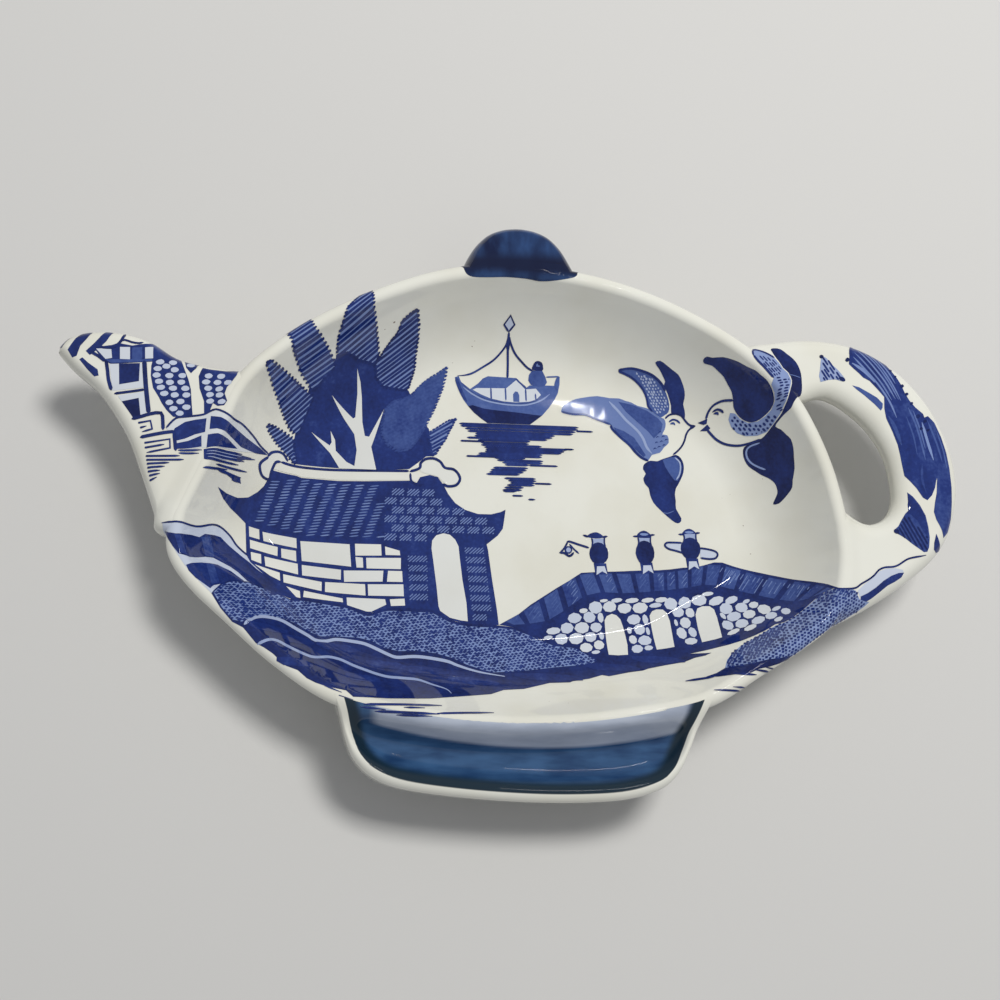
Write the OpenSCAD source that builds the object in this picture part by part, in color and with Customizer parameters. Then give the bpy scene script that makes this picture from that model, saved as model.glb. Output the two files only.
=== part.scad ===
// Teapot-shaped rest for a used tea bag: a shallow glazed dish whose outline is a teapot.
// The spout, the loop handle, the lid knob and the foot tray are moulded round the rim of
// the bowl, and an unglazed ring under the bowl stands on the table.
// Millimetres, +Z up. The origin is on the table under the middle of the whole dish.
// The spout points to -X, the handle to +X, the lid knob to +Y and the foot tray to -Y.

/* [Bowl] */
// Length of the bowl over its rim, from the spout side to the handle side
bowl_l = 101.5; // [95:0.5:108]
// Width of the bowl over its rim, from the knob side to the foot side
bowl_w = 70.4; // [66:0.2:75]
// Height of the rim over the table
rim_h = 16; // [14:0.5:19]
// Width of the rounded rim
rim_t = 2.6; // [2:0.1:3.2]
// Thickness of the clay under the well's floor
floor_t = 3.4; // [2.8:0.1:4.4]
// How far the well's wall slopes in, from the rim to the floor
wall_run = 13; // [10.5:0.5:14.5]
// How far the outside of the bowl draws in, from the rim to the base
base_run = 12; // [9.5:0.5:13.5]

/* [Moulded sections] */
// How far the spout, handle and knob lie under the top of the rim
section_drop = 0.8; // [0.5:0.1:1.6]
// Thickness of the spout, the handle and the knob
section_t = 5; // [4:0.1:6]
// How far the round edge of the spout and the knob reaches in
edge_run = 1.6; // [1:0.1:2]

/* [Spout] */
// How far the spout reaches past the end of the bowl
spout_reach = 16.2; // [13.5:0.1:19]
// Width of the spout at its root on the bowl, seen from above
spout_w = 24; // [20:0.5:27]

/* [Handle] */
// How far the handle reaches past the end of the bowl
handle_reach = 17.9; // [16:0.1:20]
// Length of the handle from its upper root to its lower root
handle_l = 43.5; // [40:0.5:47]
// How far the finger hole reaches past the end of the bowl
hole_reach = 7.6; // [6:0.1:8.5]
// Length of the finger hole
hole_l = 19.8; // [17:0.1:21]
// How far the handle's round edges reach in
handle_edge_run = 2.6; // [1.8:0.1:3]

/* [Lid knob] */
// How far the knob reaches past the rim
knob_reach = 6.5; // [5:0.1:8]
// Width of the knob at its root
knob_w = 17.2; // [14:0.2:20]
// How far the middle of the knob bulges over its edge
knob_dome = 0.7; // [0.2:0.1:0.8]

/* [Foot tray] */
// How far the foot tray reaches past the rim
foot_reach = 9.6; // [8:0.1:11]
// Width of the foot tray at its root
foot_w = 52; // [46:0.5:57]
// Depth of the tray under its lip
tray_depth = 2.4; // [1.4:0.1:3]
// How far the tray's lip lies under the top of the rim
lip_drop = 1.8; // [1:0.1:2.6]
// Width of the tray's round lip
lip_t = 3; // [2.2:0.1:3.6]
// Thickness of the foot at its outer edge
foot_t = 6; // [5.2:0.1:7]

/* [Standing ring] */
// Height of the ring under the bowl
ring_h = 1.6; // [1:0.1:2.4]
// Width of the ring's flat foot
ring_t = 3; // [2:0.1:4]
// How far the ring stands in from the edge of the bowl's base
ring_inset = 1.5; // [0.5:0.1:2.5]

/* [Hidden] */

// Steps of each curve between two of its outline points, and facets of each part
curve_steps = 3;
wall_steps = 8;
rim_steps = 8;
outside_steps = 6;
edge_steps = 6;

// Outline of the bowl as shares of its half length and half width, anticlockwise from +X
bowl_shares = [
    [0.981, -0.08], [0.951, 0.125], [0.901, 0.32], [0.833, 0.492], [0.72, 0.653],
    [0.57, 0.79], [0.389, 0.905], [0.2, 0.975], [0, 1], [-0.2, 0.972], [-0.4, 0.873],
    [-0.6, 0.72], [-0.75, 0.556], [-0.832, 0.42], [-0.876, 0.27], [-0.921, 0.09],
    [-0.965, -0.06], [-0.994, -0.18], [-0.988, -0.31], [-0.931, -0.434], [-0.83, -0.57],
    [-0.7, -0.735], [-0.55, -0.878], [-0.4, -0.942], [-0.2, -0.985], [0, -1], [0.2, -0.985],
    [0.4, -0.942], [0.55, -0.885], [0.7, -0.757], [0.82, -0.652], [0.91, -0.555],
    [0.968, -0.44], [0.989, -0.3], [0.99, -0.19],
];

// Sides of the spout from inside the bowl to the tip, as shares of its reach past the bowl and
// of its width, and how far the spout sits from the bowl's long axis as a share of bowl_w
spout_upper_shares = [
    [-1, 0.44], [-0.572, 0.5], [-0.283, 0.522], [-0.03, 0.564], [0.22, 0.665], [0.472, 0.71],
    [0.723, 0.708], [0.9, 0.668], [0.985, 0.612], [1, 0.575],
];
spout_lower_shares = [
    [-0.5, -0.6], [0.045, -0.52], [0.11, -0.395], [0.175, -0.268], [0.25, -0.133],
    [0.34, 0.025], [0.45, 0.16], [0.63, 0.33], [0.86, 0.465], [0.985, 0.552],
];
spout_place_share = 0.068;

// Outer side of the handle from the upper root to the lower root, and the side of the finger
// hole, as shares of the reach and the length of the handle and of the hole. The place shares
// are how far both sit from the bowl's long axis, as shares of bowl_w.
handle_outer_shares = [
    [-1.2, 0.4], [-0.84, 0.466], [-0.6, 0.485], [-0.355, 0.5], [-0.118, 0.5], [0.118, 0.484],
    [0.355, 0.442], [0.592, 0.373], [0.8, 0.27], [0.93, 0.155], [0.99, 0.055],
    [0.996, -0.055], [0.925, -0.17], [0.835, -0.243], [0.71, -0.303], [0.533, -0.362],
    [0.237, -0.442], [-0.059, -0.508], [-0.4, -0.57], [-0.75, -0.6],
];
hole_side_shares = [
    [-1.9, 0.3], [-0.95, 0.455], [-0.476, 0.519], [-0.159, 0.493], [0.159, 0.418],
    [0.476, 0.312], [0.714, 0.19], [0.873, 0.064], [0.952, -0.062], [0.984, -0.188],
    [0.965, -0.3], [0.86, -0.39], [0.72, -0.445], [0.56, -0.473], [0.4, -0.481],
    [0.24, -0.465], [0.09, -0.432], [-0.1, -0.385], [-0.5, -0.36], [-1.2, -0.34],
];
handle_place_share = 0.058;
hole_place_share = 0.088;

// Right half of the knob's outline from inside the rim to its top, as shares of its width and
// its reach past the rim
knob_shares = [
    [0.56, -0.6], [0.52, -0.28], [0.49, 0], [0.44, 0.28], [0.37, 0.56], [0.27, 0.81], [0.15, 0.95],
    [0.04, 1],
];

// Outer side of the foot tray from left to right, as shares of its width and its reach
foot_outer_shares = [
    [-0.5, -0.27], [-0.492, -0.1], [-0.48, 0.12], [-0.458, 0.38], [-0.412, 0.62],
    [-0.335, 0.79], [-0.185, 0.91], [-0.005, 0.985], [0.155, 1], [0.289, 0.955], [0.385, 0.81],
    [0.435, 0.59], [0.465, 0.3], [0.486, 0.03], [0.5, -0.14], [0.512, -0.3],
];
// How much of its depth the tray has at those points
tray_shares = [0, 0, 0.1, 0.45, 0.85, 1, 1, 1, 1, 1, 1, 0.85, 0.45, 0.1, 0, 0];
// Where the tray's flat part has its points and where its lip starts to rise
tray_flat_shares = [0.3, 0.55];
lip_start_share = 0.7;
// The most of a narrow section's width that its round edge or its lip may take
edge_limit_share = 0.45;
lip_limit_share = 0.3;
// The knob keeps its full dome until its half width is under this share of its root's width
dome_share = 0.36;
// Steps across the flat top of a section
top_steps = 4;

rim_r = rim_t / 2;
floor_h = ring_h + floor_t;
section_h = rim_h - section_drop;
// The well's wall leaves the round rim at this angle, and these powers bend the wall and the
// outside of the bowl
shoulder_angle = 30;
well_bend = 2;
outside_bend = 1.3;
// Where the section roots start inside the rim, so that the bowl trims them to its wall
root_in = wall_run / 2;

function mix(a, b, t) = a + (b - a) * t;

// A smooth curve through outline points
function curve_at(p, q, r, s, t) =
    ((2 * q) + (r - p) * t + (2 * p - 5 * q + 4 * r - s) * t * t
    + (3 * q - p - 3 * r + s) * t * t * t) / 2;
function closed_curve(points, steps) = [
    for (i = [0:len(points) - 1], j = [0:steps - 1]) let (n = len(points))
        curve_at(points[(i + n - 1) % n], points[i], points[(i + 1) % n], points[(i + 2) % n],
            j / steps)
];
function open_curve(points, steps) = let (last = len(points) - 1) [
    for (i = [0:last - 1], j = [0:steps - 1])
        curve_at(points[max(i - 1, 0)], points[i], points[i + 1], points[min(i + 2, last)],
            j / steps),
    points[last]
];
function middle_of(loop) = [for (i = [0:2]) sum([for (p = loop) p[i]]) / len(loop)];
function sum(values, i = 0) = i < len(values) ? values[i] + sum(values, i + 1) : 0;

// A closed skin over loops of points, with a fan over the first loop and over the last
module skin(loops) {
    count = len(loops);
    size = len(loops[0]);
    first = count * size;
    points = concat([for (loop = loops) each loop],
        [middle_of(loops[0]), middle_of(loops[count - 1])]);
    sides = [
        for (i = [0:count - 2], j = [0:size - 1])
            let (a = i * size + j, b = i * size + (j + 1) % size)
                each [[a, b + size, b], [a, a + size, b + size]]
    ];
    start_cap = [for (j = [0:size - 1]) [first, j, (j + 1) % size]];
    end_cap = [
        for (j = [0:size - 1]) [first + 1, first - size + (j + 1) % size, first - size + j]
    ];
    polyhedron(points, concat(sides, start_cap, end_cap));
}

bowl_outline = closed_curve([for (s = bowl_shares) [s.x * bowl_l, s.y * bowl_w] / 2],
    curve_steps);
function left_side(shares) = open_curve([for (s = shares)
    [-bowl_l / 2 - spout_reach * s.x, bowl_w * spout_place_share + spout_w * s.y]], curve_steps);
function right_side(shares, reach, length, place_share) = open_curve([for (s = shares)
    [bowl_l / 2 + reach * s.x, bowl_w * place_share + length * s.y]], curve_steps);
spout_upper = left_side(spout_upper_shares);
spout_lower = left_side(spout_lower_shares);
handle_outer = right_side(handle_outer_shares, handle_reach, handle_l, handle_place_share);
hole_side = right_side(hole_side_shares, hole_reach, hole_l, hole_place_share);
knob_side = open_curve([for (s = knob_shares) [knob_w * s.x, bowl_w / 2 + knob_reach * s.y]],
    curve_steps);
foot_outer = open_curve([for (s = foot_outer_shares)
    [foot_w * s.x, -bowl_w / 2 - foot_reach * s.y]], curve_steps);
tray_depths = open_curve(tray_shares, curve_steps);

// The bowl's outline drawn in by a distance, at a height
function ring_at(inset, z) = [
    for (p = bowl_outline) [p.x * (1 - 2 * inset / bowl_l), p.y * (1 - 2 * inset / bowl_w), z]
];
// The round rim: 0 degrees is its inner side, 90 its top and 180 its outer side
function rim_ring(angle) =
    ring_at(rim_r * (1 + cos(angle)), rim_h - rim_r + rim_r * sin(angle));
function outside_ring(share) =
    ring_at(base_run * pow(share, outside_bend), mix(rim_h - rim_r, ring_h, share));
function well_ring(share) = let (
        inset = rim_r * (1 + cos(shoulder_angle)),
        z = rim_h - rim_r + rim_r * sin(shoulder_angle)
    ) ring_at(inset + wall_run * share, mix(z, floor_h, 1 - pow(1 - share, well_bend)));

outside_rings = [for (i = [outside_steps:-1:1]) outside_ring(i / outside_steps)];

module bowl() color("ivory") skin(concat(
    outside_rings,
    [for (i = [rim_steps:-1:1])
        rim_ring(shoulder_angle + (180 - shoulder_angle) * i / rim_steps)],
    [for (i = [0:wall_steps]) well_ring(i / wall_steps)]
));

// Everything inside the bowl's outer wall, up to the top of the rim
module bowl_space() skin(concat(
    outside_rings,
    [for (i = [rim_steps:-1:0]) if (shoulder_angle + (180 - shoulder_angle) * i / rim_steps > 90)
        rim_ring(shoulder_angle + (180 - shoulder_angle) * i / rim_steps)],
    [rim_ring(90)]
));

// A hump that is 0 at the shares 0 and 1 and 1 halfway
function hump(share) = 4 * share * (1 - share);

// A cross-section from side a to side b with round edges, a top height and a thickness
function band_loop(a, b, run, top, thick, dome = 0) = let (
        width = norm(b - a),
        way = (b - a) / width,
        r = min(run, width * edge_limit_share),
        mid = top - thick / 2,
        place = function (along, z) [a.x + way.x * along, a.y + way.y * along, z]
    ) concat(
        [for (i = [0:edge_steps]) let (angle = 90 - 180 * i / edge_steps)
            place(width - r + r * cos(angle), mid + thick / 2 * sin(angle))],
        [for (i = [0:edge_steps]) let (angle = -90 - 180 * i / edge_steps)
            place(r + r * cos(angle), mid + thick / 2 * sin(angle))],
        [for (i = [1:top_steps - 1]) let (share = i / top_steps)
            place(mix(r, width - r, share), top + dome * hump(share))]
    );

module spout() color("ivory") difference() {
    skin([for (i = [0:len(spout_upper) - 1])
        band_loop(spout_lower[i], spout_upper[i], edge_run, section_h, section_t)]);
    bowl_space();
}

module handle() color("ivory") difference() {
    skin([for (i = [0:len(handle_outer) - 1])
        band_loop(handle_outer[i], hole_side[i], handle_edge_run, section_h, section_t)]);
    bowl_space();
}

module lid_knob() color("midnightblue") difference() {
    skin([for (p = knob_side)
        band_loop([-p.x, p.y], p, edge_run, section_h, section_t,
            knob_dome * min(1, abs(p.x) / (knob_w * dome_share)))]);
    bowl_space();
}

// A cross-section of the foot from the bowl out to the lip, with the tray between them
function foot_loop(root, edge, depth_share) = let (
        width = norm(edge - root),
        way = (edge - root) / width,
        top = rim_h - lip_drop,
        r = min(lip_t / 2, width * lip_limit_share),
        crest = width - r,
        tray = top - tray_depth * depth_share,
        underside = top - foot_t,
        place = function (along, z) [root.x + way.x * along, root.y + way.y * along, z]
    ) concat(
        [place(0, underside), place(0, (underside + tray) / 2), place(0, tray)],
        [for (share = tray_flat_shares) place((crest - r) * share, tray)],
        [for (i = [0:edge_steps]) let (share = i / edge_steps)
            place(mix((crest - r) * lip_start_share, crest, share),
                mix(tray, top, (1 - cos(180 * share)) / 2))],
        [for (i = [1:edge_steps]) let (angle = 90 - 90 * i / edge_steps)
            place(crest + r * cos(angle), top - r + r * sin(angle))],
        [for (i = [1:edge_steps]) let (angle = -90 * i / edge_steps)
            place(crest + r * cos(angle), mix(underside, top - r, 1 + sin(angle)))],
        [place(crest / 2, underside)]
    );

module foot_tray() color("steelblue") difference() {
    skin([for (i = [0:len(foot_outer) - 1])
        foot_loop([foot_outer[i].x, -bowl_w / 2 + root_in], foot_outer[i], tray_depths[i])]);
    bowl_space();
}

module standing_ring() color("wheat") linear_extrude(ring_h) difference() {
    outer = base_run + ring_inset;
    polygon([for (p = ring_at(outer, 0)) [p.x, p.y]]);
    polygon([for (p = ring_at(outer + ring_t, 0)) [p.x, p.y]]);
}

// The dish is shifted so that the origin lies under the middle of its length and width
function along(points, axis) = [for (p = points) p[axis]];
middle = [
    (max(along(handle_outer, 0)) + min(along(spout_upper, 0))) / 2,
    (max(along(knob_side, 1)) + min(along(foot_outer, 1))) / 2
];
module placed() translate([-middle.x, -middle.y, 0]) children();

placed() bowl();
placed() spout();
placed() handle();
placed() lid_knob();
placed() foot_tray();
placed() standing_ring();
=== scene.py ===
# %% [markdown]
# This notebook dresses the packed CAD model of a tea bag rest: a small glazed dish in the outline
# of a teapot, with a blue and white transfer print. The CAD model is loaded first as a fixed
# frame. All lengths below are typed in millimetres, and every mesh is scaled to metres once,
# when it becomes an object.

# %% Load the frame
import bpy, bmesh, math, random
import numpy as np
from mathutils import Matrix, Vector
from mathutils.bvhtree import BVHTree
from mathutils.interpolate import poly_3d_calc


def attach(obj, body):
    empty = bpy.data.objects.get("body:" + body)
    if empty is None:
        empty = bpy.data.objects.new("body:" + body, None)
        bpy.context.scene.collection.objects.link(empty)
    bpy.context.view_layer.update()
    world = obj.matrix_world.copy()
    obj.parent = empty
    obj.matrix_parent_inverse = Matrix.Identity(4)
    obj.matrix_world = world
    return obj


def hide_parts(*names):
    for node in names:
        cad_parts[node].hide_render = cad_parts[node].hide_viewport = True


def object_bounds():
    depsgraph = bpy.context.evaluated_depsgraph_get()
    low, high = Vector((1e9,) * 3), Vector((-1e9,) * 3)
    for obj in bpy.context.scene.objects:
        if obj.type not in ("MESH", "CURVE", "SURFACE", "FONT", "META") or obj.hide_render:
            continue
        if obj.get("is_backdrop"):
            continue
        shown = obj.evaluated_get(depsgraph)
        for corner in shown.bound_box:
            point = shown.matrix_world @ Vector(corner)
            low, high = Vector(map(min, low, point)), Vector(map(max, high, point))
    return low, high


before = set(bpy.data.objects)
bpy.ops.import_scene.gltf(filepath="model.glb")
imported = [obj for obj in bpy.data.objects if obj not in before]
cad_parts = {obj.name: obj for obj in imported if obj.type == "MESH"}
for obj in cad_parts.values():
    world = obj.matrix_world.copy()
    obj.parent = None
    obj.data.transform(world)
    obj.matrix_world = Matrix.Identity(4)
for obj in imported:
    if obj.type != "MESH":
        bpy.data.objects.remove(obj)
CAD_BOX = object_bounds()
MM = 0.001
print("CAD box in mm:", [[round(c / MM, 1) for c in corner] for corner in CAD_BOX])

# %% [markdown]
# The camera looks down on the dish from the front left, about 16 degrees off the vertical, as
# the person who took the photograph did with the dish on the table in front of them. A lens of
# 50 mm on a 36 mm sensor gives the same mild perspective.

# %% Camera
EYE = Vector((-34.842, -47.236, 211.136))
RIGHT = Vector((0.98819, -0.00628, 0.15308))
DOWN = Vector((0.02933, -0.97293, -0.22922))
LENS_MM, SENSOR_MM, CLIP_M = 50.4, 36, (0.005, 5)
camera = bpy.data.objects.new("camera", bpy.data.cameras.new("camera"))
camera.data.lens, camera.data.sensor_width = LENS_MM, SENSOR_MM
camera.data.clip_start, camera.data.clip_end = CLIP_M
turn = Matrix((RIGHT, -DOWN, RIGHT.cross(-DOWN))).transposed()
camera.matrix_world = Matrix.Translation(EYE * MM) @ turn.to_4x4()
bpy.context.scene.collection.objects.link(camera)
bpy.context.scene.camera = camera
print("camera is", round(EYE.length), "mm from the middle of the table under the dish")

# %% [markdown]
# Real slip-cast ware starts from a plaster mould that was carved by hand, so its outline is a
# free curve. Here each curve runs smoothly through a few outline points, given as shares of the
# real lengths. The same shares shape the CAD model, so both models have one outline.

# %% Sizes of the dish and its smooth curves
BOWL_L, BOWL_W, RIM_H, RIM_T, FLOOR_T, WALL_RUN, BASE_RUN = 101.5, 70.4, 16, 2.6, 3.4, 13, 12
CURVE_STEPS = 6
SECTION_DROP, SECTION_T, EDGE_RUN, ROOT_IN = 0.8, 5, 1.6, 6.5
RING_H, RING_T, RING_INSET = 1.6, 3, 1.5
RIM_R, FLOOR_H, SECTION_H = RIM_T / 2, RING_H + FLOOR_T, RIM_H - SECTION_DROP
MIDDLE = Vector((0.8652, -1.558))


def smooth_curve(points, steps, closed=False):
    """A Catmull-Rom curve through points, with this many steps from one to the next."""
    points = [Vector(p) for p in points]
    n, found = len(points), []
    for i in range(n if closed else n - 1):
        if closed:
            p, q, r, s = (points[(i + k) % n] for k in (-1, 0, 1, 2))
        else:
            p, q, r, s = (points[min(max(i + k, 0), n - 1)] for k in (-1, 0, 1, 2))
        for t in (k / steps for k in range(steps)):
            found.append((2 * q + (r - p) * t + (2 * p - 5 * q + 4 * r - s) * t**2
                          + (3 * q - p - 3 * r + s) * t**3) / 2)
    return found if closed else found + [points[-1]]


BOWL_SHARES = [
    (0.981, -0.08), (0.951, 0.125), (0.901, 0.32), (0.833, 0.492), (0.72, 0.653), (0.57, 0.79),
    (0.389, 0.905), (0.2, 0.975), (0, 1), (-0.2, 0.972), (-0.4, 0.873), (-0.6, 0.72),
    (-0.75, 0.556), (-0.832, 0.42), (-0.876, 0.27), (-0.921, 0.09), (-0.965, -0.06),
    (-0.994, -0.18), (-0.988, -0.31), (-0.931, -0.434), (-0.83, -0.57), (-0.7, -0.735),
    (-0.55, -0.878), (-0.4, -0.942), (-0.2, -0.985), (0, -1), (0.2, -0.985), (0.4, -0.942),
    (0.55, -0.885), (0.7, -0.757), (0.82, -0.652), (0.91, -0.555), (0.968, -0.44), (0.989, -0.3),
    (0.99, -0.19)
]
bowl_outline = smooth_curve([(x * BOWL_L / 2, y * BOWL_W / 2) for x, y in BOWL_SHARES], 8,
                            closed=True)


def drawn_in(inset, z):
    """The bowl's outline drawn in by a distance and lifted to a height."""
    across, along = 1 - 2 * inset / BOWL_L, 1 - 2 * inset / BOWL_W
    return [Vector((p.x * across - MIDDLE.x, p.y * along - MIDDLE.y, z)) for p in bowl_outline]


print("the bowl's outline has", len(bowl_outline), "points")

# %% [markdown]
# The other sections of the dish start on the crest of the bowl's rim. Two measures find it: how
# far points lie from a line, and how far outside the crest they lie.

# %% Distances from the rim
def to_line(points, line, closed=False):
    """Distance from flat points to a line through other points, in millimetres."""
    points, a = (np.array([(p[0], p[1]) for p in some]) for some in (points, line))
    a, b = (a, np.roll(a, -1, 0)) if closed else (a[:-1], a[1:])
    way, off = b - a, points[:, None] - a
    share = np.clip((off * way).sum(2) / np.maximum((way**2).sum(1), 1e-9), 0, 1)
    return np.linalg.norm(off - way * share[:, :, None], axis=2).min(1)


crest = np.array([(p.x, p.y) for p in drawn_in(RIM_R, RIM_H)])


def past_crest(points):
    """How far flat points lie outside the crest of the bowl's rim; less than zero inside it."""
    x, y = np.array([(p[0], p[1]) for p in points]).T[:, :, None]
    a, b = crest.T[:, None], np.roll(crest, -1, 0).T[:, None]
    spans = (a[1] > y) != (b[1] > y)
    rise = np.where(spans, b[1] - a[1], 1)
    inside = (spans & (x < a[0] + (b[0] - a[0]) * (y - a[1]) / rise)).sum(1) % 2
    return np.where(inside, -1, 1) * to_line(points, crest, closed=True)


print("the middle of the dish is", round(-past_crest([(0, 0)])[0], 1), "mm inside the crest")

# %% [markdown]
# One helper grows a mesh: it extrudes a ring or a chain of vertices and moves the new ones to
# their places, as a potter's coil is laid on the one below. Another turns a bmesh into an object
# in metres. Every piece of the dish uses both.

# %% Helpers that grow and keep a mesh
def once(found):
    """Each thing once, in the order in which it was found."""
    return list(dict.fromkeys(found))


def grow(bm, ring, places):
    """Extrudes joined vertices to new places and returns the new ones in the same order."""
    old = set(ring)
    edges = once(e for v in ring for e in v.link_edges if e.verts[0] in old and e.verts[1] in old)
    made = bmesh.ops.extrude_edge_only(bm, edges=edges)["geom"]
    new = {v for v in made if isinstance(v, bmesh.types.BMVert)}
    turned = [next(e.other_vert(v) for e in v.link_edges if e.other_vert(v) in new) for v in ring]
    for v, place in zip(turned, places):
        v.co = place
    return turned


def ring_of(bm, places):
    """A closed ring of vertices, from a circle whose vertices are moved to their places."""
    ring = bmesh.ops.create_circle(bm, segments=len(places), radius=1)["verts"]
    for v, place in zip(ring, places):
        v.co = place
    return ring


def settle(bm):
    """Orders vertices and faces by place, because an extrusion orders its faces by chance."""
    for rank, v in enumerate(sorted(bm.verts, key=lambda v: v.co[:])):
        v.index = rank
    bm.verts.sort()
    for rank, f in enumerate(sorted(bm.faces, key=lambda f: sorted(v.index for v in f.verts))):
        f.index = rank
    bm.faces.sort()


def keep(bm, name, material, slot, *nodes):
    """Makes an object of a bmesh in millimetres; it may take the place of CAD nodes."""
    if nodes:
        settle(bm)
    bmesh.ops.scale(bm, vec=(MM,) * 3, verts=bm.verts)
    mesh = bpy.data.meshes.new(name)
    bm.to_mesh(mesh)
    mesh.shade_smooth()
    mesh.materials.append(material)
    piece = bpy.data.objects.new(name, mesh)
    bpy.context.scene.collection.objects.link(piece)
    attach(piece, "root")
    if nodes:
        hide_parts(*nodes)
    low, high = ([round(end(v.co[i] for v in bm.verts) / MM, 1) for i in range(3)]
                 for end in (min, max))
    print(name, len(mesh.polygons), "faces, mm", low, high)
    bm.free()
    return piece

# %% [markdown]
# Shader maths is easiest to read as Python, so a small class wraps a socket and overloads the
# usual operators.

# %% Wires
class Wire:
    """An output socket that takes part in sums."""

    def __init__(self, finish, socket):
        self.finish, self.socket = finish, socket

    def math(self, operation, *values, clamp=False):
        settings = {"operation": operation, "use_clamp": clamp}
        return self.finish.node("ShaderNodeMath", settings, dict(enumerate(values)))

    def __add__(self, other): return self.math("ADD", self, other)
    def __sub__(self, other): return self.math("SUBTRACT", self, other)
    def __mul__(self, other): return self.math("MULTIPLY", self, other)
    __radd__, __rmul__ = __add__, __mul__

    def between(self, low, high):
        """0 below low, 1 over high, and smooth between them."""
        settings = {"interpolation_type": "SMOOTHSTEP"}
        return self.finish.node("ShaderNodeMapRange", settings,
                                {"Value": self, "From Min": low, "From Max": high})


print("sums of sockets:", [name for name in vars(Wire) if name.startswith("__r")])

# %% [markdown]
# A finish is a material with its nodes. One method makes any node from its type, its settings and
# the values of its sockets, and a few others make the nodes that come up again and again.

# %% A finish and its nodes
class Finish:
    """A material with one Principled shader and the nodes that feed it."""

    def __init__(self, name, **constants):
        self.material = bpy.data.materials.new(name)
        self.material.use_nodes = True
        self.tree = self.material.node_tree
        self.shader = self.tree.nodes["Principled BSDF"]
        self.feed(**constants)

    def node(self, kind, settings=None, sockets=None, output=0):
        made = self.tree.nodes.new(kind)
        for key, value in (settings or {}).items():
            if key == "stops":
                self.set_stops(made.color_ramp, value)
            else:
                setattr(made, key, value)
        self.plug(made, sockets or {})
        return Wire(self, made.outputs[output])

    def set_stops(self, ramp, stops):
        """Gives a colour ramp its colours, the first and last stop at its two ends."""
        ramp.elements[0].color, ramp.elements[1].color = stops[0][1], stops[-1][1]
        for place, colour in stops[1:-1]:
            ramp.elements.new(place).color = colour

    def plug(self, node, sockets):
        for key, value in sockets.items():
            if isinstance(value, Wire):
                self.tree.links.new(value.socket, node.inputs[key])
            else:
                node.inputs[key].default_value = value

    def feed(self, **sockets):
        self.plug(self.shader, {key.replace("_", " "): value for key, value in sockets.items()})

    def noise(self, size_mm, detail=2.0, stretch=(1, 1, 1)):
        """Noise in the object's own metres, with grains of about this many millimetres."""
        place = self.node("ShaderNodeTexCoord", output="Object")
        place = self.node("ShaderNodeMapping", sockets={"Vector": place, "Scale": stretch})
        return self.node("ShaderNodeTexNoise", {},
                         {"Vector": place, "Scale": 1 / (size_mm * MM), "Detail": detail})

    def mix(self, share, a, b):
        """Colour a, going over to colour b as share goes from 0 to 1."""
        sockets = {0: share, 6: a, 7: b}
        return self.node("ShaderNodeMix", {"data_type": "RGBA"}, sockets, output=2)

    def attribute(self, name):
        return self.node("ShaderNodeAttribute", {"attribute_name": name}, output="Fac")


GLASSY = dict(Roughness=0.32, Coat_Weight=1.0, Coat_Roughness=0.03, Coat_IOR=1.5, IOR=1.5,
              Specular_IOR_Level=0.0)
print("a glaze has", GLASSY)

# %% [markdown]
# Under its clear glaze the clay is a warm white. The glaze is a hard gloss with a very slight
# ripple, like orange peel, and it lies a shade creamier in some places than in others. A few
# pinholes and specks of iron show in it. A coat over a duller body gives the depth of a glaze.

# %% Glazed white finish
WHITE = (0.80, 0.80, 0.73, 1)
CREAM = (0.74, 0.73, 0.64, 1)
SPECK = (0.20, 0.15, 0.12, 1)
CREAM_MM, RIPPLE_MM, RIPPLE_HEIGHT, SPECK_MM, SPECK_PATCH_MM = 14, 5, 0.012, 0.5, 11


def white_clay(finish):
    """The colour of the clay where nothing is painted."""
    return finish.mix(finish.noise(CREAM_MM, 3).between(0.35, 0.75), WHITE, CREAM)


def bumps(finish, wave, strength, height_mm):
    """A normal that leans with a wave, whose height is in millimetres."""
    return finish.node("ShaderNodeBump", {},
                       {"Strength": strength, "Distance": height_mm * MM, "Height": wave})


def ripple(finish):
    return bumps(finish, finish.noise(RIPPLE_MM, 1.0), 1.0, RIPPLE_HEIGHT)


def glazed(name):
    finish = Finish(name, **GLASSY)
    specks = (finish.noise(SPECK_MM, 0).between(0.86, 0.875)
              * finish.noise(SPECK_PATCH_MM, 0).between(0.66, 0.72))
    finish.feed(Base_Color=finish.mix(specks, white_clay(finish), SPECK), Normal=ripple(finish))
    return finish.material


glazed_white = glazed("glazed_white")
print("white glaze ready")

# %% [markdown]
# The bowl is a shallow well with a soft round rim. It is grown ring by ring from the middle of
# its underside: out along the base, up the outside, round the rim, down the sloping wall and in
# over the floor. Rings keep the free outline of the teapot and give long smooth faces for the
# glaze to reflect in.

# %% Bowl
SHOULDER = 30  # degrees above the level at which the round rim goes over into the sloping wall


def well_height(share):
    shoulder = RIM_H - RIM_R + RIM_R * math.sin(math.radians(SHOULDER))
    return FLOOR_H + (shoulder - FLOOR_H) * (1 - share) ** 2


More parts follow.
